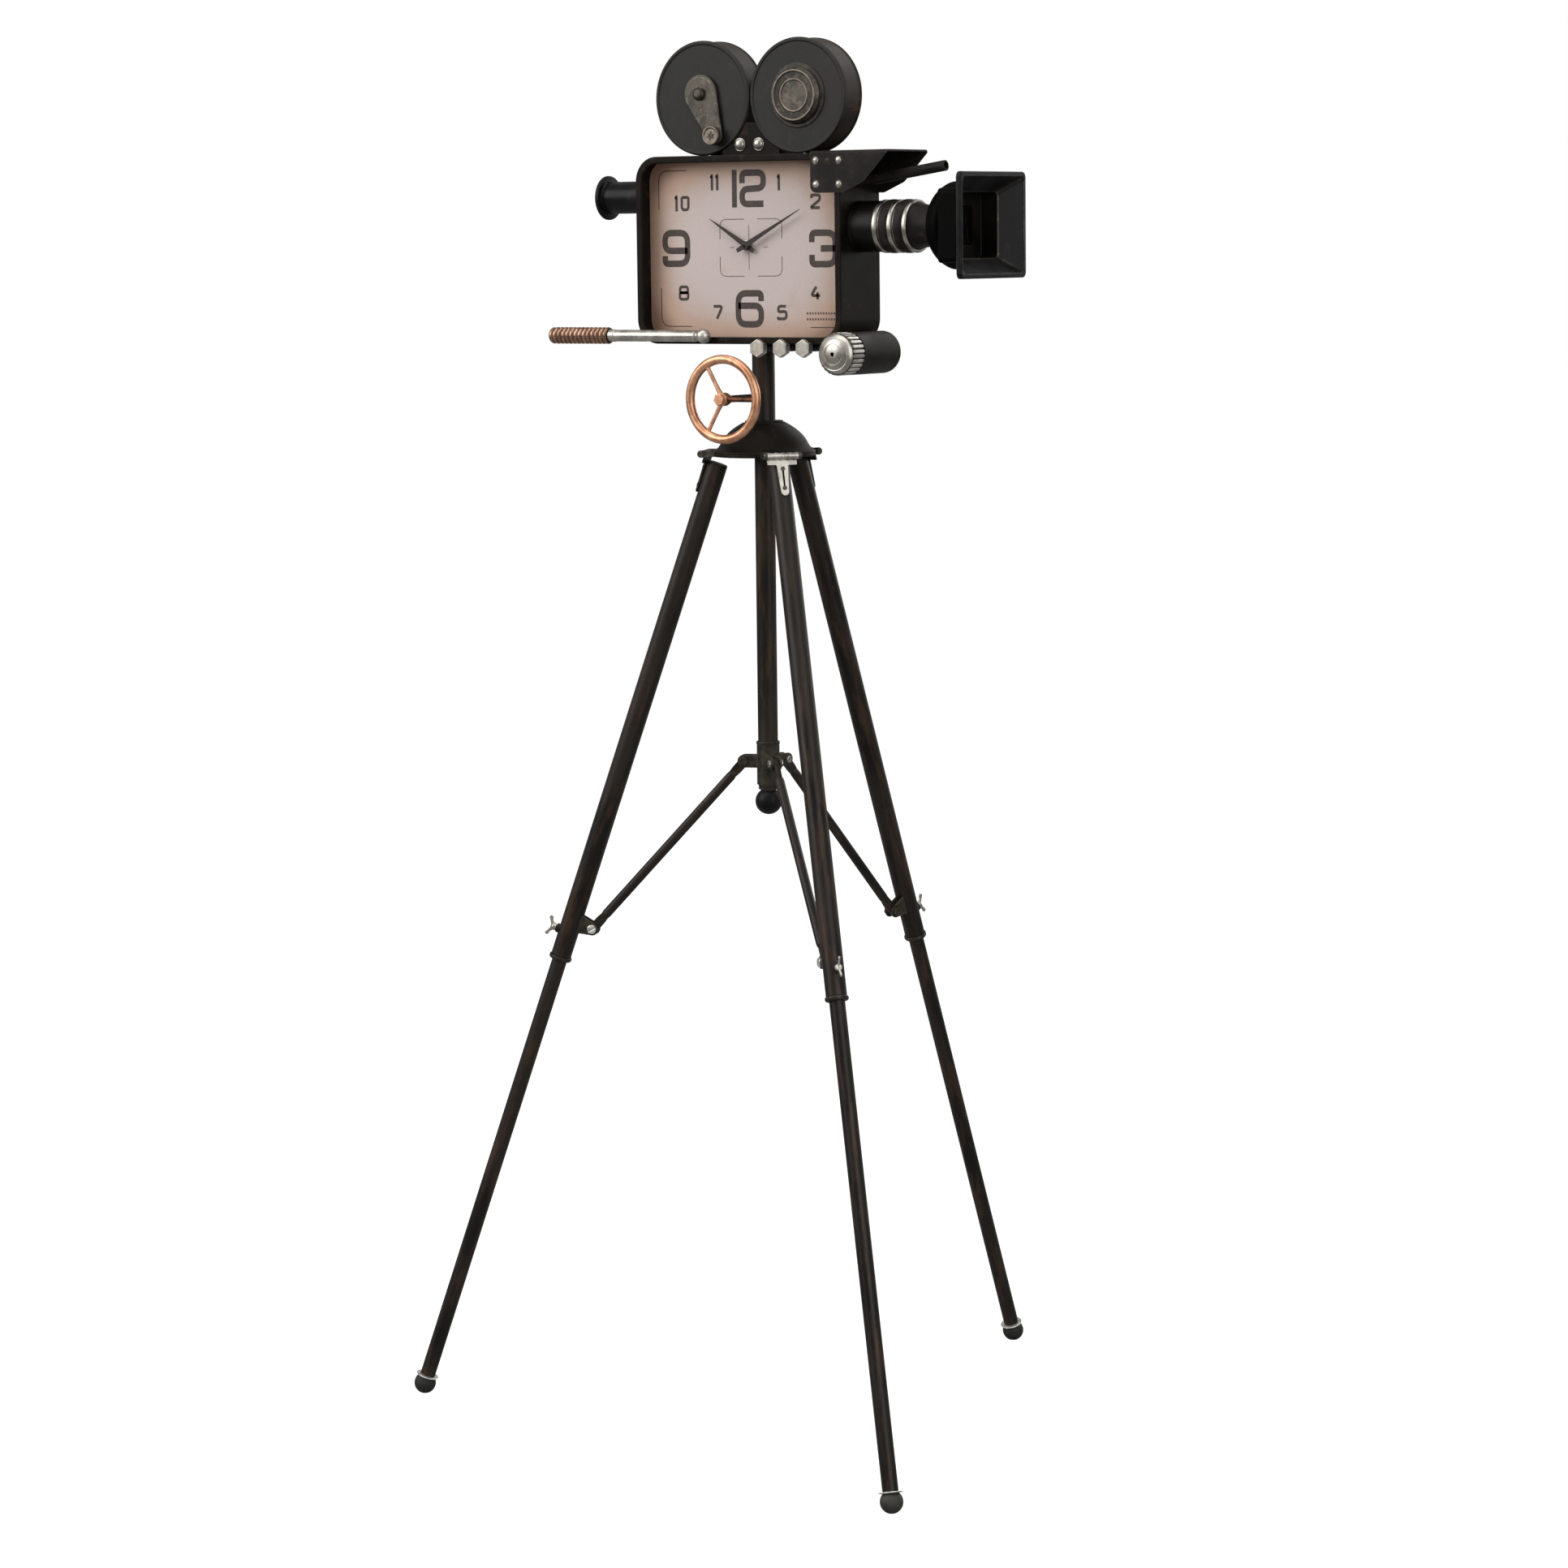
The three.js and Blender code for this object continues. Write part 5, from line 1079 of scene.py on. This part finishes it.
saddleLook = {
    "left": -43.5, "right": 34.5, "base": 213.8, "top": 250, "front": -14, "thickness": 30, "gap": 0.3,
    "bolts": (-18.75, 6.75), "boltLevel": 225.5, "bolt": (6.5, 5), "washer": 7.3,
}


def makeSaddle(left, right, base, top, front, thickness, gap, bolts, boltLevel, bolt, washer):
    # its sides follow the two drums, at turns counted from straight below each
    reach = reelLook["radius"] + gap
    leftDrum, rightDrum = reelPlaces["left"], reelPlaces["right"]
    topTurn = math.degrees(math.acos((reelLevel - top) / reach))
    leftTurn, rightTurn = (math.degrees(math.asin(x / reach)) for x in (left - leftDrum, right - rightDrum))
    outline = [(left, base), (right, base)]
    outline += arc(reach, rightTurn - 90, -topTurn - 90, rightDrum, reelLevel, 8)
    outline += arc(reach, topTurn - 90, leftTurn - 90, leftDrum, reelLevel, 8)
    build("reel_saddle", "reel_bracket", [plate(outline, thickness, 0.5)],
          inHead(0, front + thickness) @ facing, "black")
    head = [domedHead(*bolt, 40), rod(washer, -0.2, 0.7, ease=0.2)]
    for i, x in enumerate(bolts):
        build(f"saddle_bolt_{i + 1}", f"reel_bolt_{i + 1}", head, inHead(x, front - gap, boltLevel) @ facing,
              "silver")


makeSaddle(**saddleLook)
print("reels, crank and saddle")

# Handle, bolts, roller, knob, wheel

handleLook = {
    "place": (-48.6, -50, 9.5), "knuckle": 8.25, "bar": 6.75, "length": 131, "stud": 3.5, "studDrop": 3.5,
    "studLength": 9.7, "core": 4, "coreLength": 75, "grip": 9.75, "gripLength": 84, "turns": 14,
    "groove": 1.6, "gap": 0.3,
}


def makeHandle(place, knuckle, bar, length, stud, studDrop, studLength, core, coreLength, grip, gripLength,
               turns, groove, gap):
    x, y, z = place
    end = -length - coreLength
    shaft = turned([(0, -3), (bar * 0.7, -4), (bar * 0.7, -8.6), (bar * 0.96, -9.4), (bar, -11),
                    (bar, 8 - length), (bar * 1.06, 7 - length), (bar * 1.06, -length), (core, -length),
                    (core, end), (0, end)],
                   "x", 48)
    shapes = [turned(ball(knuckle), "x", 48, 0.1), shaft,
              put(rod(stud, 0, studLength, "y", 32, 0.2), at(0, 0, -studDrop))]
    build("handle_rod", "handle_bar", shapes, inHead(x, y, z), "silver")
    inner = grip - groove
    profile = [(0, 0), (inner, 0)]
    for k in range(turns * 8):
        share = (k + 0.5) / 8
        wave = abs(math.sin(math.pi * share)) ** 0.7
        taper = 1 - 0.12 * max(0, share - turns + 1) ** 2
        profile.append(((inner + groove * wave) * taper, -gripLength / turns * share))
    profile += [(inner * 0.8, -gripLength), (0, -gripLength)]
    build("copper_grip", "handle_grip", [turned(profile, "x", 56, 0.05)], inHead(x - length - gap, y, z),
          "grip")


makeHandle(**handleLook)

boltLook = {
    "first": 24, "spacing": 31, "head": 18, "headHeight": 8, "front": -49, "shank": 4, "length": 46,
    "seat": 2, "level": -4.3,
}


def makeCaseBolts(first, spacing, head, headHeight, front, shank, length, seat, level):
    shapes = [plate(hexagon(head, 30), headHeight, 0.9, 3), tinted(rod(shank, -length, seat, ease=0.6), 1)]
    for i in range(3):
        build(f"hex_bolt_{i + 1}", f"case_bolt_{i + 1}", shapes,
              inHead(first + i * spacing, front + headHeight, level) @ facing, "silver black")


makeCaseBolts(**boltLook)

knobLook = {
    "radius": 24, "length": 22, "dome": 9, "teeth": 26, "depth": 1.2, "hole": 2.5, "front": -40, "roller": 80,
    "wall": 3, "recess": 4, "shaft": 8, "shaftEnd": -11, "gap": 0.3,
    "domeShares": [(0.93, 0.17), (0.9, 0.32), (0.85, 0.45), (0.8, 0.55), (0.76, 0.6), (0.74, 0.585),
                   (0.72, 0.63), (0.66, 0.72), (0.58, 0.8), (0.5, 0.86), (0.48, 0.83), (0.46, 0.86),
                   (0.38, 0.93), (0.3, 0.97), (0.2, 1.0)],
}


def makeRollerAndKnob(radius, length, dome, teeth, depth, hole, front, roller, wall, recess, shaft, shaftEnd,
                      gap, domeShares):
    low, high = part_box("roller")
    place = at((low[0] + high[0]) / 2, front * mm, (low[2] + high[2]) / 2)
    deep = roller * 0.9
    endCurve = smoothed([(radius * 0.985, deep + roller * 0.03), (radius * 0.9, roller * 0.965),
                         (radius * 0.72, roller * 0.99)])
    profile = [(0, shaftEnd), (shaft, shaftEnd), (shaft, recess), (radius - wall, recess), (radius - wall, 0),
               (radius, 0), (radius, deep), *endCurve, (0, roller)]
    drum = turned(profile, "y", 80, 0.8)
    build("roller_drum", "roller", [drum], place, "sheet")

    def toothed(y, shrink=0.0):
        # each tooth takes six points, and its groove the first two
        reaches = [radius - shrink - (depth if k % 6 < 2 else 0) for k in range(teeth * 6)]
        return [(reach * x, -y, reach * z) for reach, (x, z) in zip(reaches, circle(1, teeth * 6))]

    def plain(reach, y):
        return [(reach * x, -y, reach * z) for x, z in circle(1, teeth * 6)]

    top = length + dome
    loops = [toothed(0.4, 1.0), toothed(1.0), toothed(length * 0.92), toothed(length + dome * 0.02, 0.5),
             toothed(length + dome * 0.12, 1.1), plain(radius * 0.935, length + dome * 0.13)]
    loops += [plain(radius * r, length + dome * y) for r, y in domeShares]
    loops += [plain(hole, top), plain(hole * 0.95, top - 1), plain(hole * 0.9, top - 5)]
    # the knurl, then the silver dome, then finish 2 inside the hole, which is painted shade
    tints = [0] * 5 + [1] * (len(loops) - 8) + [2] * 4
    build("knurled_grip", "knurled_knob", [skinned(loops, False, tints)], moved(place, 0, -gap),
          "knurl silver dark", "knob")


makeRollerAndKnob(**knobLook)

wheelLook = {
    "drop": 61, "radius": 50.5, "rim": 5.2, "y": -82, "hub": 7.5, "hubLength": 11, "spoke": 2.3,
    "firstSpoke": 1.25, "axle": 4, "axleStart": 13.3, "shoulder": 6.25, "nut": (12, 4), "gap": 0.3,
    "clearance": 0.35,
}


def makeWheel(drop, radius, rim, y, hub, hubLength, spoke, firstSpoke, axle, axleStart, shoulder, nut, gap,
              clearance):
    major = radius - rim
    loops = [[((major + rim * c) * x, rim * s, (major + rim * c) * z) for c, s in circle(1, 20)]
             for x, z in circle(1, 96)]
    shapes = [skinned(loops, True), rod(hub, -hubLength / 2, hubLength / 2, "y", 48, 0.8, axle + clearance)]
    for k, tint in enumerate((1, 0, 0)):
        w = spoke * (firstSpoke if k == 0 else 1)
        arm = turned([(0, hub * 0.75), (w * 1.35, hub * 0.75), (w * 1.1, hub + 5), (w, hub + 12),
                      (w, major - 8), (w * 1.25, major - 1), (0, major)], "x", 24, 1.0)
        shapes.append(put(tinted(arm, tint), spun(-k * 120, "Y")))
    build("copper_wheel", "hand_wheel", shapes, inHead(0, y, -drop), "copper darkCopper",
          "wheel")
    back, front = -y - hubLength / 2 - gap, -y + hubLength / 2 + gap
    profile = [(0, axleStart), (shoulder, axleStart), (shoulder, axleStart + 3), (axle, axleStart + 3.5),
               (axle, back - 3.4), (shoulder, back - 3), (shoulder, back), (axle, back), (axle, front + 2),
               (0, front + 2)]
    spindle = turned(profile, "front", 40, 0.4, 3, lambda r, along: 1 if along < back - 4 else 0)
    size, height = nut
    hexHead = put(plate(hexagon(size, 10), height, 0.6, 3), at(0, -front) @ facing)
    build("wheel_spindle", "wheel_axle", [spindle, hexHead], inHead(0, 0, -drop), "copper black")


makeWheel(**wheelLook)
print("handle, bolts, roller, knob and wheel")

# Post, dome, column, sleeve

postLook = {"radius": 13, "bore": 10.5, "bottom": -105.7, "top": -0.3}
post = rod(postLook["radius"], postLook["bottom"], postLook["top"], "z", 64, 0.6, postLook["bore"])
build("support_post", "post", [post], inHead(), "tube")

legSlides = {name: Vector(joints[f"leg_slide_{name}"]["axis"]) for name in legNames}
legTurns = {name: spun(math.degrees(math.atan2(along.y, along.x)), "Z") for name, along in legSlides.items()}
hingeLevel = joints["leg_fold_left"]["pos_m"][2]
domeLook = {
    "radius": 59, "height": 40.7, "flange": 5.5, "wall": 4.5, "collar": 22, "boss": 18, "socket": 18,
    "post": 13.35, "column": 11.85, "hinge": 70.5, "lug": 4.3, "lugThickness": 2.4, "barrel": 37,
    "belowHinge": 3, "gap": 0.3, "pin": 2, "screw": (3.3, 1.6, 0.8), "setScrew": (6.4, 6.4, 0.8),
    "setScrewTurn": 8,
    "skinShares": [(1.0, -0.02), (0.985, 0.03), (0.91, 0.12), (0.865, 0.22), (0.82, 0.36), (0.765, 0.49),
                   (0.69, 0.62), (0.57, 0.78), (0.43, 0.92), (0.385, 0.94)],
}


def makeDome(radius, height, flange, wall, collar, boss, socket, post, column, hinge, lug, lugThickness,
             barrel, belowHinge, gap, pin, screw, setScrew, setScrewTurn, skinShares):
    rise, floor = height - flange, height - socket
    skin = smoothed([(r * radius, flange + h * rise) for r, h in skinShares], 3)
    profile = [
        (post, height), (collar, height), (collar, height - rise * 0.07), *reversed(skin[1:]),
        (radius, flange), (radius, 3.9), (radius - 0.7, 3.5), (radius - 0.7, 2.9), (radius, 2.5), (radius, 0),
        (radius - wall, 0), (radius * 0.86, flange + 0.08 * rise - wall),
        (radius * 0.5, flange + 0.7 * rise - wall), (boss, floor - wall), (boss, 0), (column, 0),
        (column, floor), (post, floor),
    ]
    shapes = [turned(profile, "z", 112, 0.8)]
    root, inner = radius - wall * 1.7, barrel / 2 + gap
    outline = [(root, belowHinge + lug), (root, 0), *arc(lug, -90, 90, hinge, belowHinge, 14)]
    for name, turn in legTurns.items():
        paint = 0 if name == "rear" else 1  # rubbed bright where the legs swing
        for y in (inner + lugThickness, -inner):
            shapes.append(put(plate(outline, lugThickness, 0.7, 3, tint=paint), turn @ at(0, y) @ facing))
        axle = turn @ at(hinge, 0, belowHinge)
        shapes.append(put(tinted(rod(pin, -inner - 3, inner + 3, "y", 24, 0.2), 1), axle))
        for side in (-1, 1):
            spot = axle @ at(0, side * (inner + lugThickness - 0.1)) @ spun(-side * 90, "X")
            shapes += [put(tinted(part, 1), spot) for part in slotScrew(*screw)]
    nub = plate(roundedBox(*setScrew, steps=3), 7, 0.5, tint=2)
    shapes.append(put(nub, spun(setScrewTurn, "Z") @ at(collar - 3.5, 0, height - 4.4) @ spun(90, "Y")))
    build("leg_dome", "tripod_dome", shapes, at(0, 0, hingeLevel - belowHinge * mm), "cast pewter black")


makeDome(**domeLook)

columnLook = {
    "radius": 11.5, "bore": 9.5, "ball": 15.5, "neck": 9, "neckHeight": 1.5, "flange": 11.5,
    "flangeHeight": 2, "gap": 0.3, "spigot": 9.1, "spigotLength": 20,
}


def makeColumn(radius, bore, ball, neck, neckHeight, flange, flangeHeight, gap, spigot, spigotLength):
    low, high = (corner[2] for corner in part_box("column_tube"))
    tube = rod(radius, 0, (high - low) / mm, "z", 64, 0.5, bore)
    # the column takes the lighter copy of the tube paint, painted light
    build("centre_column", "column_tube", [tube], at(0, 0, low), "column")
    neckTop = -gap - flangeHeight
    centre = neckTop - neckHeight - math.sqrt(ball ** 2 - neck ** 2)
    profile = arc(ball, -90, math.degrees(math.acos(neck / ball)), 0, centre, 24)
    profile[0] = (0, centre - ball)
    profile += [(neck, neckTop), (flange, neckTop), (flange, -gap), (spigot, -gap), (spigot, spigotLength),
                (0, spigotLength)]
    build("column_ball", "column_finial", [turned(profile, "z", 64, 0.4)], at(0, 0, low), "hood")


makeColumn(**columnLook)


def fork(base, look, root, pin, head, headTurn, tint=0):
    # two ears and a pin with a head on each end: a hexagon where two sizes are given, else a screw's
    outer = look["gap"] + look["earThickness"]
    ear = plate([(0, root / 2), *arc(look["ear"], 90, 270, -look["pivot"], 0, 16), (0, -root / 2)],
                look["earThickness"], 0.6, 3, tint=tint)
    shapes = [put(ear, base @ at(0, y) @ facing) for y in (outer, -look["gap"])]
    tip = base @ at(-look["pivot"])
    shapes.append(put(tinted(rod(pin, -outer, outer, "y", 24, 0.2), 1), tip))
    for side in (-1, 1):
        spot = tip @ at(0, side * outer) @ spun(-side * 90, "X")
        if len(head) == 2:
            size, height = head
            shapes.append(put(plate(hexagon(size), height, tint=tint), spot))
        else:
            shapes += [put(tinted(part, 1), spot @ spun(headTurn, "Z")) for part in slotScrew(*head)]
    return shapes


sleeveLook = {
    "radius": 13.2, "bore": 11.85, "above": 23.5, "below": 27, "bead": 0.4, "beadHeight": 3, "pivot": 28,
    "ear": 7.5, "earThickness": 2.6, "gap": 3.5, "pin": 2.5, "nut": (9, 3), "screw": (4.2, 2.4, 1.0),
    "screwTurn": 35,
}


def makeSleeve(look):
    radius, bore, above, below = (look[key] for key in ("radius", "bore", "above", "below"))
    collar, rise = radius + look["bead"], above - look["beadHeight"]
    shapes = [turned([(bore, -below), (radius, -below), (radius, rise - 0.6), (collar, rise), (collar, above),
                      (bore, above)], "z", 64)]
    for name, turn in legTurns.items():
        head = look["nut"] if name == "left" else look["screw"]
        shapes += fork(turn @ spun(180, "Z"), look, look["ear"] * 2, look["pin"], head, look["screwTurn"])
    build("sliding_collar", "spreader_sleeve", shapes, at(0, 0, joints["strut_swing_left"]["pos_m"][2]),
          "greened silver", "sleeve")


makeSleeve(sleeveLook)
print("post, dome, column and collar")

# Legs and struts, each drawn in its own frame: X outboard, Z up along the leg

legLook = {
    "axis": -17.8, "top": -6, "upper": 12, "upperBore": 10.8, "upperLength": 612.5, "overlap": 90, "lower": 9,
    "lowerBore": 7.8, "lowerLength": 635.5, "bracketDrop": 569, "pivot": 27, "bracketRoot": 26, "ear": 7.5,
    "earThickness": 2.6, "gap": 3.5, "pin": 2.2, "nut": (10, 3.2), "screw": (5.4, 2.8, 1.1), "screwTurn": 50,
    "clampDrop": 583, "boss": 5.5, "bossStart": 8, "bossHeight": 3, "seam": 0.3,
}


def downLeg(look, drop):
    # on the tube's axis, so far below its top
    return look["axis"], 0, look["top"] - drop


def makeUpperLeg(name, place, look):
    radius, bore, length, boss = (look[key] for key in ("upper", "upperBore", "upperLength", "boss"))
    shell = turned([(0, 0), (radius, 0), (radius, -length), (bore, -length), (bore, -2), (0, -2)], "z", 56,
                   0.8)
    head = look["nut"] if name == "rear" else look["screw"]
    shapes = [put(shell, at(*downLeg(look, 0)))]
    shapes += fork(at(*downLeg(look, look["bracketDrop"])), look, look["bracketRoot"], look["pin"], head,
                   look["screwTurn"], 2)
    start, seat = look["bossStart"], radius + look["bossHeight"]
    clamp = rod(boss, 0, seat, "x", bore=boss * 0.5)
    squeeze = Matrix.Diagonal(((seat - start) / seat, 1, 1, 1))
    shapes.append(put(clamp, at(*downLeg(look, look["clampDrop"])) @ at(start) @ squeeze))
    build(f"leg_tube_{name}", f"upper_leg_{name}", shapes, place, "tube washer greened",
          f"leg_{name}")


ferruleLook = {"lip": 13.5, "lipHeight": 5, "spigot": 24, "clearance": 0.35}


def makeFerrule(name, place, look, lip, lipHeight, spigot, clearance):
    seam = look["seam"]
    bore, guide, end = look["lower"] + clearance, look["upperBore"] - clearance, -seam - lipHeight
    profile = [(bore, spigot), (guide, spigot), (guide, -seam), (lip - 0.5, -seam), (lip, -1.4),
               (lip, end + 1.6), (lip - 1.2, end), (bore, end)]
    build(f"guide_ring_{name}", f"leg_ferrule_{name}", [turned(profile, "z", 56)],
          moved(place, *downLeg(look, look["upperLength"])), "darkPewter", f"leg_{name}")


hingeLook = {
    "half": 18.5, "radius": 4, "bore": 2.35, "knuckles": 9, "thinner": 0.86,
    "plateHalf": 17.5, "drop": 5.5, "length": 45.5, "root": 13.4, "tip": 9.5, "thickness": 2.2,
    "grooveWidth": 2.4, "screwLevels": (-14, -36.5), "screw": (2.6, 1.2, 0.7),
}


def makeHinge(name, place, look, half, radius, bore, knuckles, thinner, plateHalf, drop, length, root, tip,
              thickness, grooveWidth, screwLevels, screw):
    step = half * 2 / knuckles
    shapes = []
    for k in range(knuckles):
        start = -half + k * step
        shapes.append(rod(radius * (thinner if k % 2 else 1), start, start + step, "y", 40, 0.35, bore))
    face, low = look["upper"] + look["seam"] + look["axis"], -radius - drop
    side = [(plateHalf, 1.1), (plateHalf, low + 0.8), (plateHalf - 0.8, low), (root / 2 + 1.2, low),
            (root / 2, low - 1.2)]
    outline = [(-x, y) for x, y in side] + arc(tip / 2, 0, -180, 0, tip / 2 - length, 16)[::-1] + side[::-1]
    groove = roundedBox(grooveWidth, length - 22, 1.1, 0, -length / 2 - 2, 5)
    for part, x in ((plate(outline, thickness, 0.5, 3), 0),
                    (plate(groove, 0.5, 0.15, 1, tint=1), thickness - 0.3)):
        shapes.append(put(part, at(face + x) @ spun(90, "Z") @ facing))
    for z in screwLevels:
        spot = at(face + thickness - 0.1, 0, z) @ spun(90, "Y")
        shapes += [put(tinted(part, 2), spot) for part in slotScrew(*screw)]
    paint, slot = ("silver", "silver_metal") if name == "front" else ("darkPewter", "pewter_metal")
    build(f"strap_hinge_{name}", f"leg_hinge_{name}", shapes, place, f"{paint} dark pewter",
          f"leg_{name}")


footLook = {
    "radius": 13, "level": 9.2, "washer": 13.5, "washerHeight": 1.6, "washerBore": 7.4, "plugLength": 20,
}


def makeLowerLeg(name, place, look, radius, level, washer, washerHeight, washerBore, plugLength):
    body = f"lower_leg_{name}"
    tube = rod(look["lower"], 0, -look["lowerLength"], "z", 48, 0.4, look["lowerBore"])
    drop = look["upperLength"] - look["overlap"]
    build(f"sliding_tube_{name}", body, [tube], moved(place, *downLeg(look, drop)), "tube",
          body)
    top = level + washerHeight
    profile = ball(radius, -90, math.degrees(math.asin(level / radius)), 22)
    profile[0] = (0, -radius)
    profile += [(washerBore + 0.8, level + 0.2), (washerBore, level + 0.6), (washerBore, top + plugLength),
                (0, top + plugLength)]
    ring = turned([(washerBore, level), (washer - 1, level), (washer, level + 0.5), (washer, top - 0.3),
                   (washer - 0.8, top), (washerBore, top)], "z", 56, 0.25)
    drop += look["lowerLength"] + look["seam"] + top
    rubber = "rubber" if name == "front" else "blackRubber"
    foot = build(f"ball_foot_{name}", f"foot_{name}", [turned(profile, "z", 56, 0.3), tinted(ring, 1)],
                 moved(place, *downLeg(look, drop)), f"{rubber} washer", body)
    inverse = foot.matrix_world.inverted()
    for vertex in foot.data.vertices:  # the worn flat: nothing reaches below the floor
        world = foot.matrix_world @ vertex.co
        if world.z < 0:
            world.z = 0
            vertex.co = inverse @ world


wingLook = {"shank": 2.5, "neck": 4.25, "neckFoot": 3.6, "thickness": 2.2, "tip": 2.3, "tipReach": 9.6}


def makeWingScrew(name, look, shank, neck, neckFoot, thickness, tip, tipReach):
    joint = joints[f"wing_screw_turn_{name}"]
    seat = look["upper"] + look["bossHeight"] + look["seam"]
    base = seat + 3
    collar = turned([(0, seat), (neckFoot, seat), (neck, seat + 0.8), (neck, seat + 4.2), (3.4, seat + 5.8),
                     (0, seat + 6)], "x", 40)
    wings = smoothed([(base - 1.2, 2.6), (base + 1.2, 5.0), (base + 3.4, 7.2),
                      *arc(tip, 170, -30, base + 6.6, tipReach, 8), (base + 6.4, 5.2), (base + 4.6, 1.6)], 3)
    wing = plate([(x, -z) for x, z in wings] + wings[::-1], thickness, 0.8, 3)
    shapes = [rod(shank, look["lower"] + look["seam"], seat + 1, "x", 32, 0.3), collar,
              put(wing, at(0, thickness / 2) @ facing)]
    body = f"wing_screw_{name}"
    build(f"wing_nut_{name}", body, shapes, localFrame(joint["pos_m"], joint["axis"], -legSlides[name]),
          "silver", body)


strutLook = {"tip": 5.5, "tongue": 6, "reach": 24, "core": 3}


def makeStrut(name, legPlace, look, tip, tongue, reach, core):
    joint = joints[f"strut_swing_{name}"]
    x, y, z = downLeg(look, look["bracketDrop"])
    start, outer = Vector(joint["pos_m"]), legPlace @ Vector(((x - look["pivot"]) * mm, y, z * mm))
    up = (start - outer).normalized()
    length = (start - outer).length / mm
    outline = [*arc(tip, 0, 180, steps=16), (-tip, -reach * 0.6), (-tip * 0.8, -reach), (tip * 0.8, -reach),
               (tip, -reach * 0.6)]
    flat = put(plate(outline, tongue, 0.9, 3), at(0, tongue / 2) @ facing)
    bar = turned([(0, 7 - reach), (core, 6.4 - reach), (tip, 0.5 - reach), (tip, reach - 0.5 - length),
                  (core, reach - 6.4 - length), (0, reach - 7 - length)], "z", 40, 2.5, 4)
    shapes = [flat, bar, put(flat, at(0, 0, -length) @ spun(180, "Y"))]
    body = f"strut_{name}"
    build(f"brace_rod_{name}", body, shapes, localFrame(start, Vector(joint["axis"]).cross(up), up), "tube",
          body)


for name in legNames:
    clampAxis = joints[f"wing_screw_turn_{name}"]["axis"]
    legPlace = localFrame(joints[f"leg_fold_{name}"]["pos_m"], clampAxis, -legSlides[name])
    makeHinge(name, legPlace, legLook, **hingeLook)
    makeUpperLeg(name, legPlace, legLook)
    makeFerrule(name, legPlace, legLook, **ferruleLook)
    makeLowerLeg(name, legPlace, legLook, **footLook)
    makeWingScrew(name, legLook, **wingLook)
    makeStrut(name, legPlace, legLook, **strutLook)
    print("leg", name)
